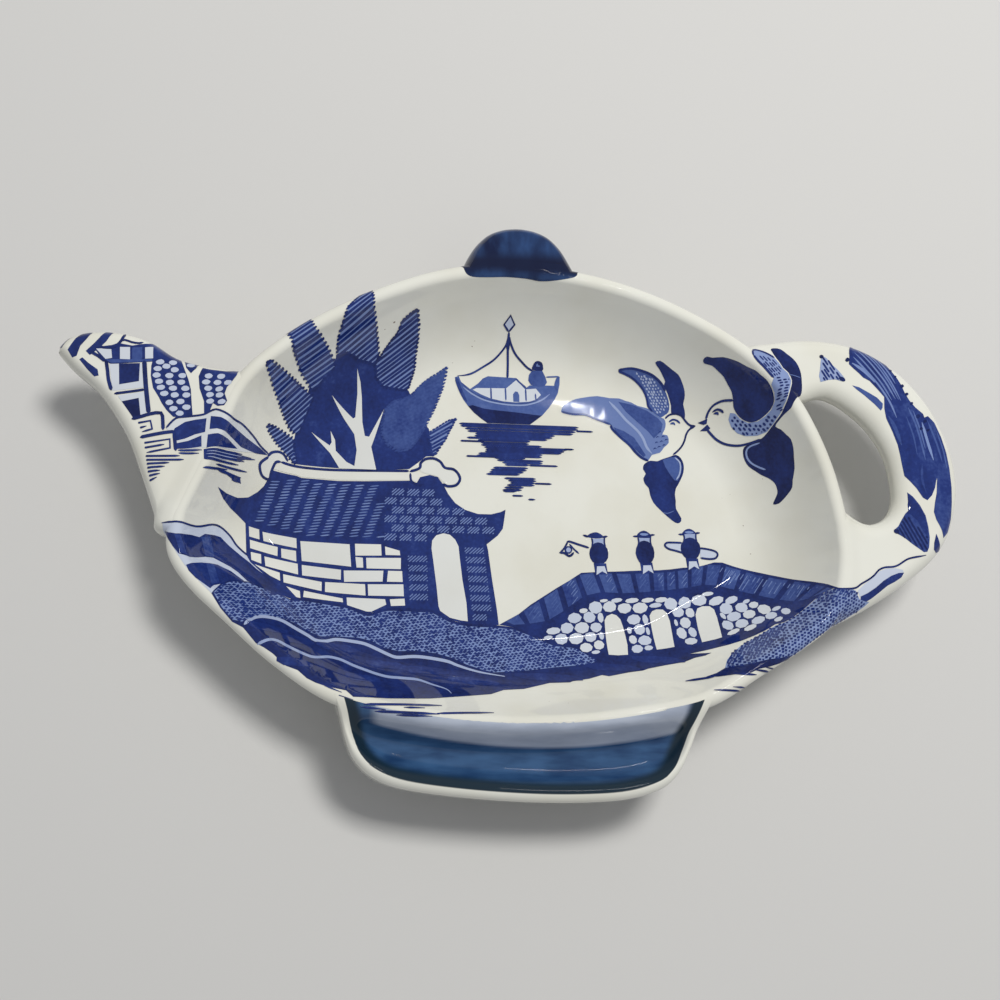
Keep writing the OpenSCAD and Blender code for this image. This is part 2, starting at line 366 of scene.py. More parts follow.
def bowl_rings():
    """How far each ring is drawn in and how high it lies, once round the section."""
    shoulder_in = RIM_R * (1 + math.cos(math.radians(SHOULDER)))
    half = BOWL_W / 2
    yield from ((half * (1 - k / 10), RING_H) for k in range(1, 6))
    for k in range(17):
        share = 1 - k / 16
        yield BASE_RUN * share**1.3, RING_H + (RIM_H - RIM_R - RING_H) * (1 - share)
    for k in range(1, 21):
        angle = math.radians(180 - (180 - SHOULDER) * k / 20)
        yield RIM_R * (1 + math.cos(angle)), RIM_H - RIM_R + RIM_R * math.sin(angle)
    for k in range(1, 25):
        share = k / 24
        yield shoulder_in + WALL_RUN * share, well_height(share)
    inner = shoulder_in + WALL_RUN
    yield from ((inner + (half - inner) * k / 8, FLOOR_H) for k in range(1, 8))


bm = bmesh.new()
rings = [drawn_in(inset, z) for inset, z in bowl_rings()]
first = last = ring_of(bm, rings[0])
for ring in rings[1:]:
    last = grow(bm, last, ring)
for v in (first, last):
    middle = bm.faces.new(v)
    bmesh.ops.poke(bm, faces=[middle])
bmesh.ops.recalc_face_normals(bm, faces=bm.faces)
bowl = keep(bm, "bowl_glazed", glazed_white, "glazed_white", "bowl")

# %% [markdown]
# The spout, the handle and the knob are flat arms of clay that run out from the rim. Each is a
# row of cross-sections between two sides. Every line along the arm starts on the crest of the
# rim, and the top of the arm falls from the crest in a soft hollow, so that rim and arm read as
# one surface, as they do under a real glaze. The round edge depends only on how far a point
# lies from the arm's outline, so it turns evenly round the tip as well.

# %% Curves and falls
def placed(shares, start, across, reach, along):
    """Outline points in the dish's frame from shares of a reach and of a length."""
    return [Vector((start + reach * x, across + along * y)) - MIDDLE for x, y in shares]


def at(curve, share):
    """The place at a share of a curve."""
    place = min(max(share, 0), 1) * (len(curve) - 1)
    k = min(int(place), len(curve) - 2)
    return curve[k].lerp(curve[k + 1], place - k)


def crossing(line, inside, outside, depth=0.0):
    """The share at which a line is this deep inside the crest, found by halving."""
    for _ in range(16):
        half = (inside + outside) / 2
        if past_crest([line(half)])[0] < -depth:
            inside = half
        else:
            outside = half
    return outside


def fall(distance, reach):
    """1 at the crest and 0 from reach on, level at both ends."""
    share = np.clip(distance / reach, 0, 1)
    return (1 - share) ** 2 * (1 + 2 * share)


def smooth_share(values, low, high):
    """0 up to low and 1 from high on, level at both ends."""
    share = np.clip((np.asarray(values) - low) / (high - low), 0, 1)
    return share * share * (3 - 2 * share)


print("the hollow falls as", [round(float(fall(k / 4, 1)), 2) for k in range(5)])

# %% [markdown]
# The arm itself is grown ring by ring. Its top starts on the crest, and its sides and underside
# start a few millimetres deeper, under the rim, so that no gap shows from below.

# %% Arms that grow out of the rim
HOLLOW, ROOT_DEPTH, NOMINAL_W, WELD_MM = 3.2, 3.0, 10, 0.002


def section_shares(width, run, steps=9):
    """Places across an arm from side a to side b and whether each is on top: round it once."""
    r = min(run, width * 0.45)
    turn = [math.cos(math.pi * k / (2 * steps)) for k in range(steps + 1)]
    up = [1 - r * (1 - c) / width for c in turn[::-1]]
    flat = [1 - (r + (width - 2 * r) * k / 10) / width for k in range(1, 10)]
    over = up[::-1] + flat + [1 - share for share in up]
    return [(share, True) for share in over] + [(share, False) for share in over[-2:0:-1]]


def arm(side_a, side_b, run, level, steps, two_roots=False, dome=0.0, dome_run=1.0):
    """A closed arm between two sides, with its root or roots on the crest."""
    shares = section_shares(NOMINAL_W, run)
    lines = []
    for k, (share, top) in enumerate(shares):
        def line(along, k=k):
            a, b = at(side_a, along), at(side_b, along)
            return a.lerp(b, section_shares(max((b - a).length, 1e-3), run)[k][0])
        deep = ROOT_DEPTH * smooth_share(min(share, 1 - share) * NOMINAL_W / run, 0, 1)
        ends = [1, 1]
        if two_roots:
            ends = [crossing(line, 1, 0.5), crossing(line, 1, 0.5, deep)]
        lines.append((line, top, [crossing(line, 0, 0.5), crossing(line, 0, 0.5, deep)], ends))
    under, mid = level - SECTION_T, level - SECTION_T / 2

    def ring_at(share, tucked):
        """One ring of the arm; a tucked ring has its top folded down on its underside."""
        flat = []
        for line, top, starts, ends in lines:
            start, end = (s[0 if top and not tucked else 1] for s in (starts, ends))
            flat.append(line(start + (end - start) * share))
        edge = np.minimum(to_line(flat, side_a), to_line(flat, side_b))
        turn = np.sqrt(1 - (1 - np.clip(edge / run, 0, 1)) ** 2)
        high = level + dome * (1 - (1 - np.clip(edge / dome_run, 0, 1)) ** 2)
        high = high + (RIM_H - high) * fall(np.maximum(past_crest(flat), 0), HOLLOW)
        tips = [up - mid if top and not tucked else under - mid
                for (_, top), up in zip(shares, high)]
        return [Vector((*p, mid + tip * t)) for p, tip, t in zip(flat, tips, turn)]

    bm = bmesh.new()
    last = ring_of(bm, ring_at(0, True))
    for step in range(steps + 1):
        last = grow(bm, last, ring_at(step / steps, False))
    if two_roots:
        last = grow(bm, last, ring_at(1, True))
    bmesh.ops.remove_doubles(bm, verts=bm.verts, dist=WELD_MM)
    bmesh.ops.holes_fill(bm, edges=[e for e in bm.edges if e.is_boundary])
    bmesh.ops.recalc_face_normals(bm, faces=bm.faces)
    print("open edges:", sum(not e.is_manifold for e in bm.edges))
    return bm


print("an arm's cross-section has", len(section_shares(NOMINAL_W, EDGE_RUN)), "points")

# %% [markdown]
# The spout leans up to the left. In the photograph its lower side is a long hollow curve and
# its upper side is nearly straight, with a small round tip. The print runs over it, so it has
# the same white glaze as the bowl.

# %% Spout
SPOUT_UPPER_SHARES = [
    (-1, 0.44), (-0.572, 0.5), (-0.283, 0.522), (-0.03, 0.564), (0.22, 0.665), (0.472, 0.71),
    (0.723, 0.708), (0.9, 0.668), (0.985, 0.612), (1, 0.575)
]
SPOUT_LOWER_SHARES = [
    (-0.5, -0.6), (0.045, -0.52), (0.11, -0.395), (0.175, -0.268), (0.25, -0.133), (0.34, 0.025),
    (0.45, 0.16), (0.63, 0.33), (0.86, 0.465), (0.99, 0.56)
]
SPOUT_REACH, SPOUT_W, SPOUT_Y = 16.2, 24, BOWL_W * 0.068
spout_sides = [
    smooth_curve(placed(shares, -BOWL_L / 2, SPOUT_Y, -SPOUT_REACH, SPOUT_W), CURVE_STEPS)
    for shares in (SPOUT_LOWER_SHARES, SPOUT_UPPER_SHARES)
]
spout = keep(arm(*spout_sides, EDGE_RUN, SECTION_H, steps=54), "spout_glazed", glazed_white,
             "glazed_white", "spout")

# %% [markdown]
# The handle is a broad loop. Both of its roots flow into the rim, and the rim itself closes the
# finger hole on the side of the bowl. Its edges are rounder than the spout's, as the fingers
# touch them.

# %% Handle
HANDLE_OUTER_SHARES = [
    (-1.2, 0.4), (-0.84, 0.466), (-0.6, 0.485), (-0.355, 0.5), (-0.118, 0.5), (0.118, 0.484),
    (0.355, 0.442), (0.592, 0.373), (0.8, 0.27), (0.93, 0.155), (0.99, 0.055), (0.996, -0.055),
    (0.925, -0.17), (0.835, -0.243), (0.71, -0.303), (0.533, -0.362), (0.237, -0.442),
    (-0.059, -0.508), (-0.4, -0.57), (-0.75, -0.6)
]
HOLE_SIDE_SHARES = [
    (-1.9, 0.3), (-0.95, 0.455), (-0.476, 0.519), (-0.159, 0.493), (0.159, 0.418), (0.476, 0.312),
    (0.714, 0.19), (0.873, 0.064), (0.952, -0.062), (0.984, -0.188), (0.965, -0.3), (0.86, -0.39),
    (0.72, -0.445), (0.56, -0.473), (0.4, -0.481), (0.24, -0.465), (0.09, -0.432), (-0.1, -0.385),
    (-0.5, -0.36), (-1.2, -0.34)
]
HANDLE_REACH, HANDLE_L, HANDLE_Y, HANDLE_RUN = 17.9, 43.5, BOWL_W * 0.058, 2.6
HOLE_REACH, HOLE_L, HOLE_Y = 7.6, 19.8, BOWL_W * 0.088
handle_sides = [
    smooth_curve(placed(shares, BOWL_L / 2, across, reach, along), CURVE_STEPS)
    for shares, across, reach, along in (
        (HANDLE_OUTER_SHARES, HANDLE_Y, HANDLE_REACH, HANDLE_L),
        (HOLE_SIDE_SHARES, HOLE_Y, HOLE_REACH, HOLE_L),
    )
]
handle = keep(arm(*handle_sides, HANDLE_RUN, SECTION_H, steps=110, two_roots=True),
              "handle_glazed", glazed_white, "glazed_white", "handle")

# %% [markdown]
# The knob and the foot were brushed blue by hand before glazing. The colour shows the strokes of
# the brush, and it is darker where the brush left more of it and nearly grey where it is thin.
# Three vertex attributes steer it: where there is paint, where it is thin, and where it is
# darkened, which on the foot is painted shade.

# %% Brushed blue finishes
THIN = (0.46, 0.51, 0.61, 1)
POOL_MM = 6


def brushed(name, dark, light, thick, stretch, size_mm):
    """Colour brushed on under the glaze, with strokes that are stretched along the brush."""
    finish = Finish(name, **GLASSY)
    strokes = finish.noise(size_mm, 4, stretch).between(0.3, 0.7)
    pools = finish.noise(POOL_MM, 2).between(0.35, 0.7)
    blue = finish.mix(strokes * 0.65 + pools * 0.35, dark, light)
    blue = finish.mix(finish.attribute("thin") * (0.75 + strokes * 0.25), blue, THIN)
    # Darkened where the attribute says: painted shade on the foot, a darker base on the knob.
    blue = finish.mix(finish.attribute("thick"), blue, thick)
    paint = finish.attribute("paint").between(0.3, 0.7)
    finish.feed(Base_Color=finish.mix(paint, white_clay(finish), blue), Normal=ripple(finish))
    return finish.material


def painted(piece, share_of, name="paint"):
    """Stores for each vertex how much of the paint covers it."""
    layer = piece.data.attributes.new(name, "FLOAT", "POINT")
    places = [v.co / MM for v in piece.data.vertices]
    layer.data.foreach_set("value", np.asarray(share_of(places), float))


knob_blue = brushed(
    "painted_knob", dark=(0.003, 0.01, 0.05, 1), light=(0.026, 0.07, 0.2, 1),
    thick=(0.003, 0.007, 0.035, 1), stretch=(1.6, 0.7, 1), size_mm=3.4
)
foot_blue = brushed(
    "painted_foot", dark=(0.013, 0.043, 0.12, 1), light=(0.045, 0.115, 0.25, 1),
    thick=(0.009, 0.024, 0.04, 1), stretch=(0.35, 1.6, 1), size_mm=2.6
)
print("brushed finishes:", knob_blue.name, foot_blue.name)

# %% [markdown]
# The lid knob is a half-round boss at the far edge. It swells a little in the middle, and its
# blue is darker towards the rim.

# %% Lid knob
KNOB_SHARES = [
    (0.56, -0.6), (0.52, -0.28), (0.49, 0), (0.44, 0.28), (0.37, 0.56), (0.27, 0.81), (0.15, 0.95),
    (0.04, 0.998), (0.004, 1)
]
KNOB_REACH, KNOB_W, KNOB_DOME, DOME_RUN = 6.5, 17.2, 0.7, 5
KNOB_DARK_TO, KNOB_DARK_TILT = (36.8, 39.6), 0.05
knob_sides = [
    smooth_curve([Vector((side * x * KNOB_W, BOWL_W / 2 + y * KNOB_REACH)) - MIDDLE
                  for x, y in KNOB_SHARES], CURVE_STEPS)
    for side in (-1, 1)
]
knob = keep(arm(*knob_sides, EDGE_RUN, SECTION_H, steps=44, dome=KNOB_DOME, dome_run=DOME_RUN),
            "lid_knob_painted", knob_blue, "painted_knob", "lid_knob")
painted(knob, lambda places: np.ones(len(places)))
# The blue darkens towards the rim.
painted(knob, lambda places: 1 - smooth_share([p.y - KNOB_DARK_TILT * p.x for p in places], *KNOB_DARK_TO),
        "thick")

# %% [markdown]
# The foot of the teapot is a shallow trough below the bowl, with a round lip. It is brushed a
# clear mid blue inside. The brush stopped short of the edge, so the outer wall is bare white.

# %% Foot tray
FOOT_OUTER_SHARES = [
    (-0.513, -0.5), (-0.5, -0.27), (-0.492, -0.1), (-0.48, 0.12), (-0.458, 0.38), (-0.412, 0.62),
    (-0.335, 0.79), (-0.185, 0.91), (-0.005, 0.985), (0.155, 1), (0.289, 0.955), (0.385, 0.81),
    (0.435, 0.59), (0.465, 0.3), (0.486, 0.03), (0.5, -0.14), (0.512, -0.3), (0.53, -0.55)
]
TRAY_SHARES = [0, 0, 0, 0.1, 0.45, 0.85, 1, 1, 1, 1, 1, 1, 0.85, 0.45, 0.1, 0, 0, 0]
FOOT_REACH, FOOT_W, TRAY_DEPTH, LIP_DROP, LIP_T, FOOT_T = 9.6, 52, 2.4, 1.8, 3, 6
LIP_H, FOOT_HOLLOW, FOOT_DEPTH, CORNER_R = RIM_H - LIP_DROP, 4.4, 4.9, 1
TRAY_FALL, TRAY_RISE = (0.6, 4.6), 3.2  # where the trough starts and how far from the lip it ends
foot_outer = smooth_curve([Vector((x * FOOT_W, -BOWL_W / 2 - y * FOOT_REACH)) - MIDDLE
                           for x, y in FOOT_OUTER_SHARES], CURVE_STEPS)
tray_depths = [v.x for v in smooth_curve([Vector((s, 0)) for s in TRAY_SHARES], CURVE_STEPS)]


def tray_section(edge, depth):
    """One section of the foot, from the crest over trough and lip, down the wall and back below."""
    inner = Vector((edge.x, -BOWL_W / 2 + ROOT_IN - MIDDLE.y))

    def line(share):
        return inner.lerp(edge, share)

    root, deep = line(crossing(line, 0, 1)), line(crossing(line, 0, 1, FOOT_DEPTH))
    width = max((edge - root).length, 0.02)
    way = (edge - root).normalized() if (edge - root).length > 1e-3 else Vector((0, -1))
    r = min(LIP_T / 2, width * 0.45)
    over = [width * k / 40 - r * k / 40 for k in range(41)]
    over += [width - r + r * math.sin(math.pi / 2 * k / 8) for k in range(1, 9)]
    u = np.array(over)
    rise = 1 - smooth_share(u, width - r - TRAY_RISE, width - r)
    high = LIP_H + (RIM_H - LIP_H) * fall(u, FOOT_HOLLOW)
    high -= TRAY_DEPTH * depth * smooth_share(u, *TRAY_FALL) * rise
    high -= r * (1 - np.sqrt(1 - np.clip((u - (width - r)) / r, 0, 1) ** 2))
    places = [Vector((*(root + way * d), z)) for d, z in zip(over, high)]
    under = LIP_H - FOOT_T
    wall = [(width, high[-1] + (under + CORNER_R - high[-1]) * k / 6) for k in range(1, 7)]
    turn = [math.pi / 2 * k / 6 for k in range(1, 7)]
    wall += [(width - CORNER_R + CORNER_R * math.cos(t), under + CORNER_R - CORNER_R * math.sin(t))
             for t in turn]
    places += [Vector((*(root + way * d), z)) for d, z in wall]
    places += [Vector((*places[-1].xy.lerp(deep, k / 8), under)) for k in range(1, 9)]
    return places + [places[-1].lerp(places[0], k / 4) for k in range(1, 4)]


sections = [tray_section(edge, depth) for edge, depth in zip(foot_outer, tray_depths)]
bm = bmesh.new()
last = ring_of(bm, sections[0])
bm.faces.new(last)
for section in sections[1:]:
    last = grow(bm, last, section)
bm.faces.new(last)
bmesh.ops.recalc_face_normals(bm, faces=bm.faces)
foot = keep(bm, "foot_tray_painted", foot_blue, "painted_foot", "foot_tray")

# %% [markdown]
# The blue covers the trough and stops a little inside the edge. It is thin along the rim, where
# the brush started. Along the lip's outer edge and at the steep right end it is darkened: painted
# shade.

# %% Paint in the foot tray
BARE_EDGE, THIN_FROM, THIN_BEND, THIN_HALF, SHADE_END = 1.35, (-35.8, -35.3), 0.0055, 23.5, 26.6


def foot_paint(places):
    inside = smooth_share(to_line(places, foot_outer), BARE_EDGE - 0.35, BARE_EDGE)
    return inside * smooth_share([p.z for p in places], LIP_H - 3, LIP_H - 2.9)


def foot_thin(places):
    along_rim = smooth_share([p.y - THIN_BEND * (p.x - 2) ** 2 for p in places], *THIN_FROM)
    return along_rim * smooth_share([THIN_HALF - abs(p.x - 0.5) for p in places], 0, 2)


# Painted shade: darker along the lip's outer edge and at the right end of the trough.
def foot_painted_shade(places):
    near = [min(d, SHADE_END - p.x) for p, d in zip(places, to_line(places, foot_outer))]
    return 1 - smooth_share(near, 2.2, 3.3)


painted(foot, foot_paint)
painted(foot, foot_thin, "thin")
painted(foot, foot_painted_shade, "thick")
print("paint layers of the foot:", [layer.name for layer in foot.data.attributes
                                    if layer.name in ("paint", "thin", "thick")])

# %% [markdown]
# Under the bowl stands a low ring. It is wiped clean of glaze before firing so that it doesn't
# stick to the kiln shelf, which leaves its flat face matt, a little darker and slightly gritty.

# %% Bare clay and standing ring
CLAY_DARK, CLAY_LIGHT, GRIT = (0.62, 0.57, 0.48, 1), (0.70, 0.65, 0.56, 1), (0.35, 0.29, 0.23, 1)
clay = Finish("bare_clay", Roughness=0.85)
grit = clay.noise(0.35, 3)
tone = clay.mix(clay.noise(5, 2).between(0.3, 0.7), CLAY_DARK, CLAY_LIGHT)
clay.feed(Base_Color=clay.mix(grit.between(0.62, 0.72) * 0.5, tone, GRIT),
          Normal=bumps(clay, grit, 0.6, 0.04))
RING_OUT, RING_EDGE, TUCK_OUT, TUCK_UP = BASE_RUN + RING_INSET, 0.5, 0.6, 0.3
profile = [(RING_OUT - TUCK_OUT, RING_H + TUCK_UP), (RING_OUT, RING_H)]
for k in range(7):
    t = math.pi / 2 * k / 6
    profile.append((RING_OUT + RING_EDGE * (1 - math.cos(t)), RING_EDGE * (1 - math.sin(t))))
profile += [(2 * RING_OUT + RING_T - inset, z) for inset, z in profile[::-1]]
bm = bmesh.new()
last = ring_of(bm, drawn_in(*profile[0]))
for inset, z in profile[1:]:
    last = grow(bm, last, drawn_in(inset, z))
bmesh.ops.bridge_loops(bm, edges=[e for e in bm.edges if e.is_boundary])
bmesh.ops.recalc_face_normals(bm, faces=bm.faces)
keep(bm, "standing_ring_bare", clay.material, "bare_clay", "standing_ring")

# %% [markdown]
# The blue picture is a transfer print: an engraved copper plate was inked in cobalt, the ink went
# on tissue paper, and the tissue was rubbed on the biscuit ware before glazing. So the picture is
# made of flat shapes and pen strokes of one ink, thin in the washes and thick in the lines. Each
# shape is drawn flat, seen from above, and carries its strength of ink as a vertex attribute:
# 0 is bare glaze, 0.2 a haze, 0.6 a wash and 1 nearly black. Then the whole layer is laid on the
# dish like the tissue, a few hundredths of a millimetre above the clay.

# %% Print finish
BLOT_MM, GRAIN_MM, BLOT_INK, COVER = 2.4, 0.5, 0.55, 7  # ink of 1 / COVER hides the clay
INK_TONES = [
    (0.0, (0.72, 0.75, 0.77, 1)), (0.2, (0.53, 0.59, 0.73, 1)), (0.4, (0.21, 0.29, 0.55, 1)),
    (0.6, (0.064, 0.112, 0.33, 1)), (0.8, (0.013, 0.032, 0.18, 1)), (1.0, (0.005, 0.011, 0.072, 1))
]


def printed(name):
    finish = Finish(name, **GLASSY)
    ink = finish.attribute("ink")
    blot = finish.noise(BLOT_MM, 3, (1, 0.5, 1)) * 0.6 + finish.noise(GRAIN_MM, 2) * 0.4
    uneven = ink + (blot - 0.5) * BLOT_INK * ink.between(0.4, 0.8)
    blue = finish.node("ShaderNodeValToRGB", {"stops": INK_TONES}, {"Fac": uneven})
    cover = ink.math("MULTIPLY", ink, COVER, clamp=True)
    finish.feed(Base_Color=finish.mix(cover, white_clay(finish), blue), Normal=ripple(finish))
    return finish.material


transfer_print = printed("transfer_print")
print("print finish with", len(INK_TONES), "tones")

# %% [markdown]
# The picture is drawn in four layers: a faint haze, the grounds over it, then the gaps, which leave
# white clay showing or fill a ground with a second tone, and the pen strokes on top. A fifth layer
# is kept for the painted lap of the knob. Each finished shape is copied into its layer.

# %% Layers of the print
random.seed(7)
LIFTS = {"haze": 0.016, "grounds": 0.036, "gaps": 0.058, "strokes": 0.08, "lap": 0.03}
HAZE_REACH, HAZE_INK, BLEEDS_OVER = 0.42, 0.13, 0.55
SHAPE_STEP, SHAPE_STEPS = 0.0008, 16
layers = {name: bmesh.new() for name in LIFTS}
for bm in layers.values():
    bm.verts.layers.float.new("ink")
tissue, shapes_drawn = bpy.data.meshes.new("tissue"), 0


def add_to(layer, bm, inks):
    """Copies a flat shape into a layer; most shapes lie a hair higher than the one before."""
    global shapes_drawn
    shapes_drawn += 1
    strength = bm.verts.layers.float.get("ink") or bm.verts.layers.float.new("ink")
    for v, ink in zip(bm.verts, inks):
        v[strength] = ink
        v.co.z = shapes_drawn % SHAPE_STEPS * SHAPE_STEP
    bm.to_mesh(tissue)
    layers[layer].from_mesh(tissue)


def put_down(layer, bm, ink, bleeds=True):
    """Puts a finished shape in its layer. Strong ink bleeds a faint haze round itself."""
    if bleeds and ink > BLEEDS_OVER and layer != "gaps":
        blur = bm.copy()
        bmesh.ops.inset_region(blur, faces=blur.faces, thickness=HAZE_REACH, use_boundary=True,
                               use_outset=True)
        add_to("haze", blur, [0.0 if v.is_boundary else HAZE_INK for v in blur.verts])
        blur.free()
    add_to(layer, bm, [ink] * len(bm.verts))
    bm.free()


def count(title):
    """Prints how many faces each layer has so far."""
    print(title, {name: len(bm.faces) for name, bm in layers.items()})


print("layers of the print, with their heights over the clay in mm:", LIFTS)

# %% [markdown]
# Three small tools draw single shapes. A patch is a closed shape, a stroke is a ribbon that thins
# at its ends as a pen line does, and a spot is a small oval.

# %% Patches, strokes and spots
TIP = 0.25


def patch(layer, outline, ink, curve=0, bleeds=True):
    """A flat shape of ink inside a closed outline, drawn smoothly where curve steps are given."""
    points = smooth_curve(outline, curve, closed=True) if curve else [Vector(p) for p in outline]
    bm = bmesh.new()
    bm.faces.new(ring_of(bm, [Vector((*p, 0)) for p in points]))
    put_down(layer, bm, ink, bleeds)


def stroke(layer, line, width, ink, taper=(0.3, 0.3), curve=4, bleeds=True):
    """A ribbon along a line; over each taper length, in millimetres, it thins to its tip."""
    line = smooth_curve(line, curve) if len(line) > 2 else [Vector(p) for p in line]
    gone = [0.0]
    for a, b in zip(line, line[1:]):
        gone.append(gone[-1] + (b - a).length)
    half = gone[-1] / 2
    stops = sorted({*gone, min(taper[0], half), max(gone[-1] - taper[1], half)})
    bm, last = bmesh.new(), None
    for stop in stops:
        k = min(max(sum(g <= stop for g in gone) - 1, 0), len(line) - 2)
        way = line[k + 1] - line[k]
        p = line[k] + way * ((stop - gone[k]) / max(way.length, 1e-6))
        if 0 < k and stop == gone[k]:
            way = way.normalized() + (line[k] - line[k - 1]).normalized()
        near = min(stop / max(taper[0], 1e-6), (gone[-1] - stop) / max(taper[1], 1e-6))
        side = Vector((-way.y, way.x)).normalized() * width / 2 * min(1, TIP + (1 - TIP) * near)
        places = [Vector((*(p + side), 0)), Vector((*(p - side), 0))]
        if last:
            last = grow(bm, last, places)
        else:
            last = [bm.verts.new(place) for place in places]
            bm.edges.new(last)
    put_down(layer, bm, ink, bleeds)


def spot(layer, centre, size, ink, turn=0.0, sides=10, wobble=0.06):
    """A small oval, a little uneven, as if drawn by hand. Its size is the two half widths."""
    points = []
    for k in range(sides):
        angle = 2 * math.pi * k / sides
        reach = 1 + random.uniform(-wobble, wobble)
        x, y = size[0] * reach * math.cos(angle), size[1] * reach * math.sin(angle)
        points.append((centre[0] + x * math.cos(turn) - y * math.sin(turn),
                       centre[1] + x * math.sin(turn) + y * math.cos(turn)))
    patch(layer, points, ink, bleeds=False)


print("a tip is", TIP, "of the width of its stroke")

# %% [markdown]
# Two more tools fill a region: a hatch with parallel strokes or dashes, and a net with small
# lozenges in staggered rows. Both find out with spans where a line lies inside the region.

# %% Hatches and nets
SLANT = 0.0013  # keeps the line that tests a point off the corners of a region


def spans(region, start, way):
    """Where a straight line lies inside a region, as pairs of distances along it."""
    side, found = Vector((-way.y, way.x)), []
    off = [(Vector(p) - start).dot(side) for p in region]
    for k, p in enumerate(region):
        if (off[k - 1] > 0) != (off[k] > 0):
            share = off[k - 1] / (off[k - 1] - off[k])
            found.append((Vector(region[k - 1]).lerp(Vector(p), share) - start).dot(way))
    found.sort()
    return list(zip(found[::2], found[1::2]))


def hatch(layer, region, degrees, pitch, width, ink, trim=0.0, uneven=0.2, dash=0.0, gap=0.0):
    """Parallel strokes inside a region; they may be cut into dashes with gaps between them."""
    way = Vector((math.cos(math.radians(degrees)), math.sin(math.radians(degrees))))
    side = Vector((-way.y, way.x))
    reach = [Vector(p).dot(side) for p in region]
    place = min(reach) + pitch / 2
    while place < max(reach):
        for low, high in spans(region, side * place, way):
            low, high = low + trim, high - trim
            at_mm = low + (random.uniform(0, dash) if dash else 0)
            while at_mm < high - width * 0.7:
                end = min(high, at_mm + dash * random.uniform(0.8, 1.2)) if dash else high
                shift = side * (place + random.uniform(-uneven, uneven) * pitch * 0.5)
                stroke(layer, [shift + way * at_mm, shift + way * end], width, ink,
                       (width * 0.6, width * 0.6), bleeds=False)
                at_mm = end + gap * random.uniform(0.7, 1.3) + 0.01
        place += pitch


def within(p, region):
    """Whether a flat point lies inside a region."""
    return any(low < 0 < high for low, high in spans(region, Vector(p), Vector((1, SLANT))))


def net(region, pitch, size, ink, degrees=0.0, layer="strokes"):
    """Small lozenges in staggered rows, as an engraver stipples a bank of grass."""
    way = Vector((math.cos(math.radians(degrees)), math.sin(math.radians(degrees))))
    side = Vector((-way.y, way.x))
    along, across = ([Vector(p).dot(d) for p in region] for d in (way, side))
    row, v = 0, min(across)
    while v < max(across):
        u = min(along) + (row % 2) * pitch / 2
        while u < max(along):
            shake = Vector((random.uniform(-1, 1), random.uniform(-1, 1))) * pitch * 0.12
            p = way * u + side * v + shake
            if within(p, region):
                big = random.uniform(0.75, 1.2)
                spot(layer, p, (size[0] * big, size[1] * big), ink, math.radians(degrees), 4, 0.15)
            u += pitch
        row, v = row + 1, v + pitch * 0.62


SOLID, LINE, NAVY, WASH, PALE = 0.84, 0.90, 0.95, 0.62, 0.17
print("inks: solid, line, navy, wash and pale are", SOLID, LINE, NAVY, WASH, PALE)

# %% [markdown]
# The land comes first: one dark silhouette holds the left hill, the bank along the lower rim and
# the water's edge under the bridge. The ink stops about two millimetres inside the rim, where the
# printer trimmed the tissue.

# %% Left hill and bank
hill_line = [
    (-52, -4.9), (-50, -4.8), (-47.5, -4.8), (-45.4, -3.9), (-44.2, -4), (-42.9, -5), (-42, -6.2),
    (-41, -7.1), (-40.3, -7.6)
]
patch("grounds", [
    (-51.9, -5), (-50, -4.9), (-47.5, -4.9), (-45.4, -4), (-44.2, -4.1), (-42.9, -5.1), (-41, -7.2),
    (-40.4, -7.8), (-39.8, -8.6), (-37, -11), (-34.2, -13.3), (-34.5, -13.9), (-40, -12),
    (-43.6, -13), (-44.7, -14.9), (-45.2, -14.4), (-47, -12.7), (-48.6, -10.9), (-49.7, -9.3),
    (-51, -7.2), (-51.8, -5.9)
], PALE)
stroke("strokes", hill_line, 0.28, LINE, (1, 0.2))
patch("gaps", [
    (-51.6, -5.9), (-51, -6.3), (-50, -6.5), (-49, -6.4), (-48, -6.2), (-47, -6.2), (-46.3, -5.5),
    (-45, -5.35), (-44.2, -5.45), (-43, -6.5), (-41, -8), (-40, -8.7), (-39, -9.6), (-37, -11),
    (-35.5, -12.2), (-34, -13.4), (-34, -13.9), (-38.5, -12.5), (-40.2, -11.8), (-41.5, -10.6),
    (-42.6, -9.9), (-43.5, -9.5), (-45, -8.9), (-46, -9), (-47, -9.4), (-48, -9.65), (-49.5, -9.3),
    (-50.3, -8.3), (-51, -7.2)
], NAVY - 0.06)
patch("strokes", [(-46.8, -6.1), (-45.6, -5.7), (-44.9, -8.8), (-46.1, -8.9)], 0.74)
patch("strokes", [(-50.2, -6.6), (-49.4, -6.6), (-48.4, -9.4), (-49.3, -9.2)], 0.76)
patch("gaps", [
    (-48.4, -10.9), (-47.6, -10.5), (-46.5, -10.1), (-45.2, -9.9), (-44.4, -9.9), (-43.6, -10.2),
    (-42.5, -10.6), (-41.8, -11.1), (-40.6, -11.9), (-42.2, -12.1), (-43, -12.5), (-43.8, -13.1),
    (-44.6, -13.5), (-45, -14.1), (-46, -13.4), (-47, -12.7), (-48, -11.7)
], SOLID)
patch("strokes", [(-45.9, -10.1), (-44.9, -9.95), (-43.9, -12.9), (-44.9, -13.4)], 0.74)
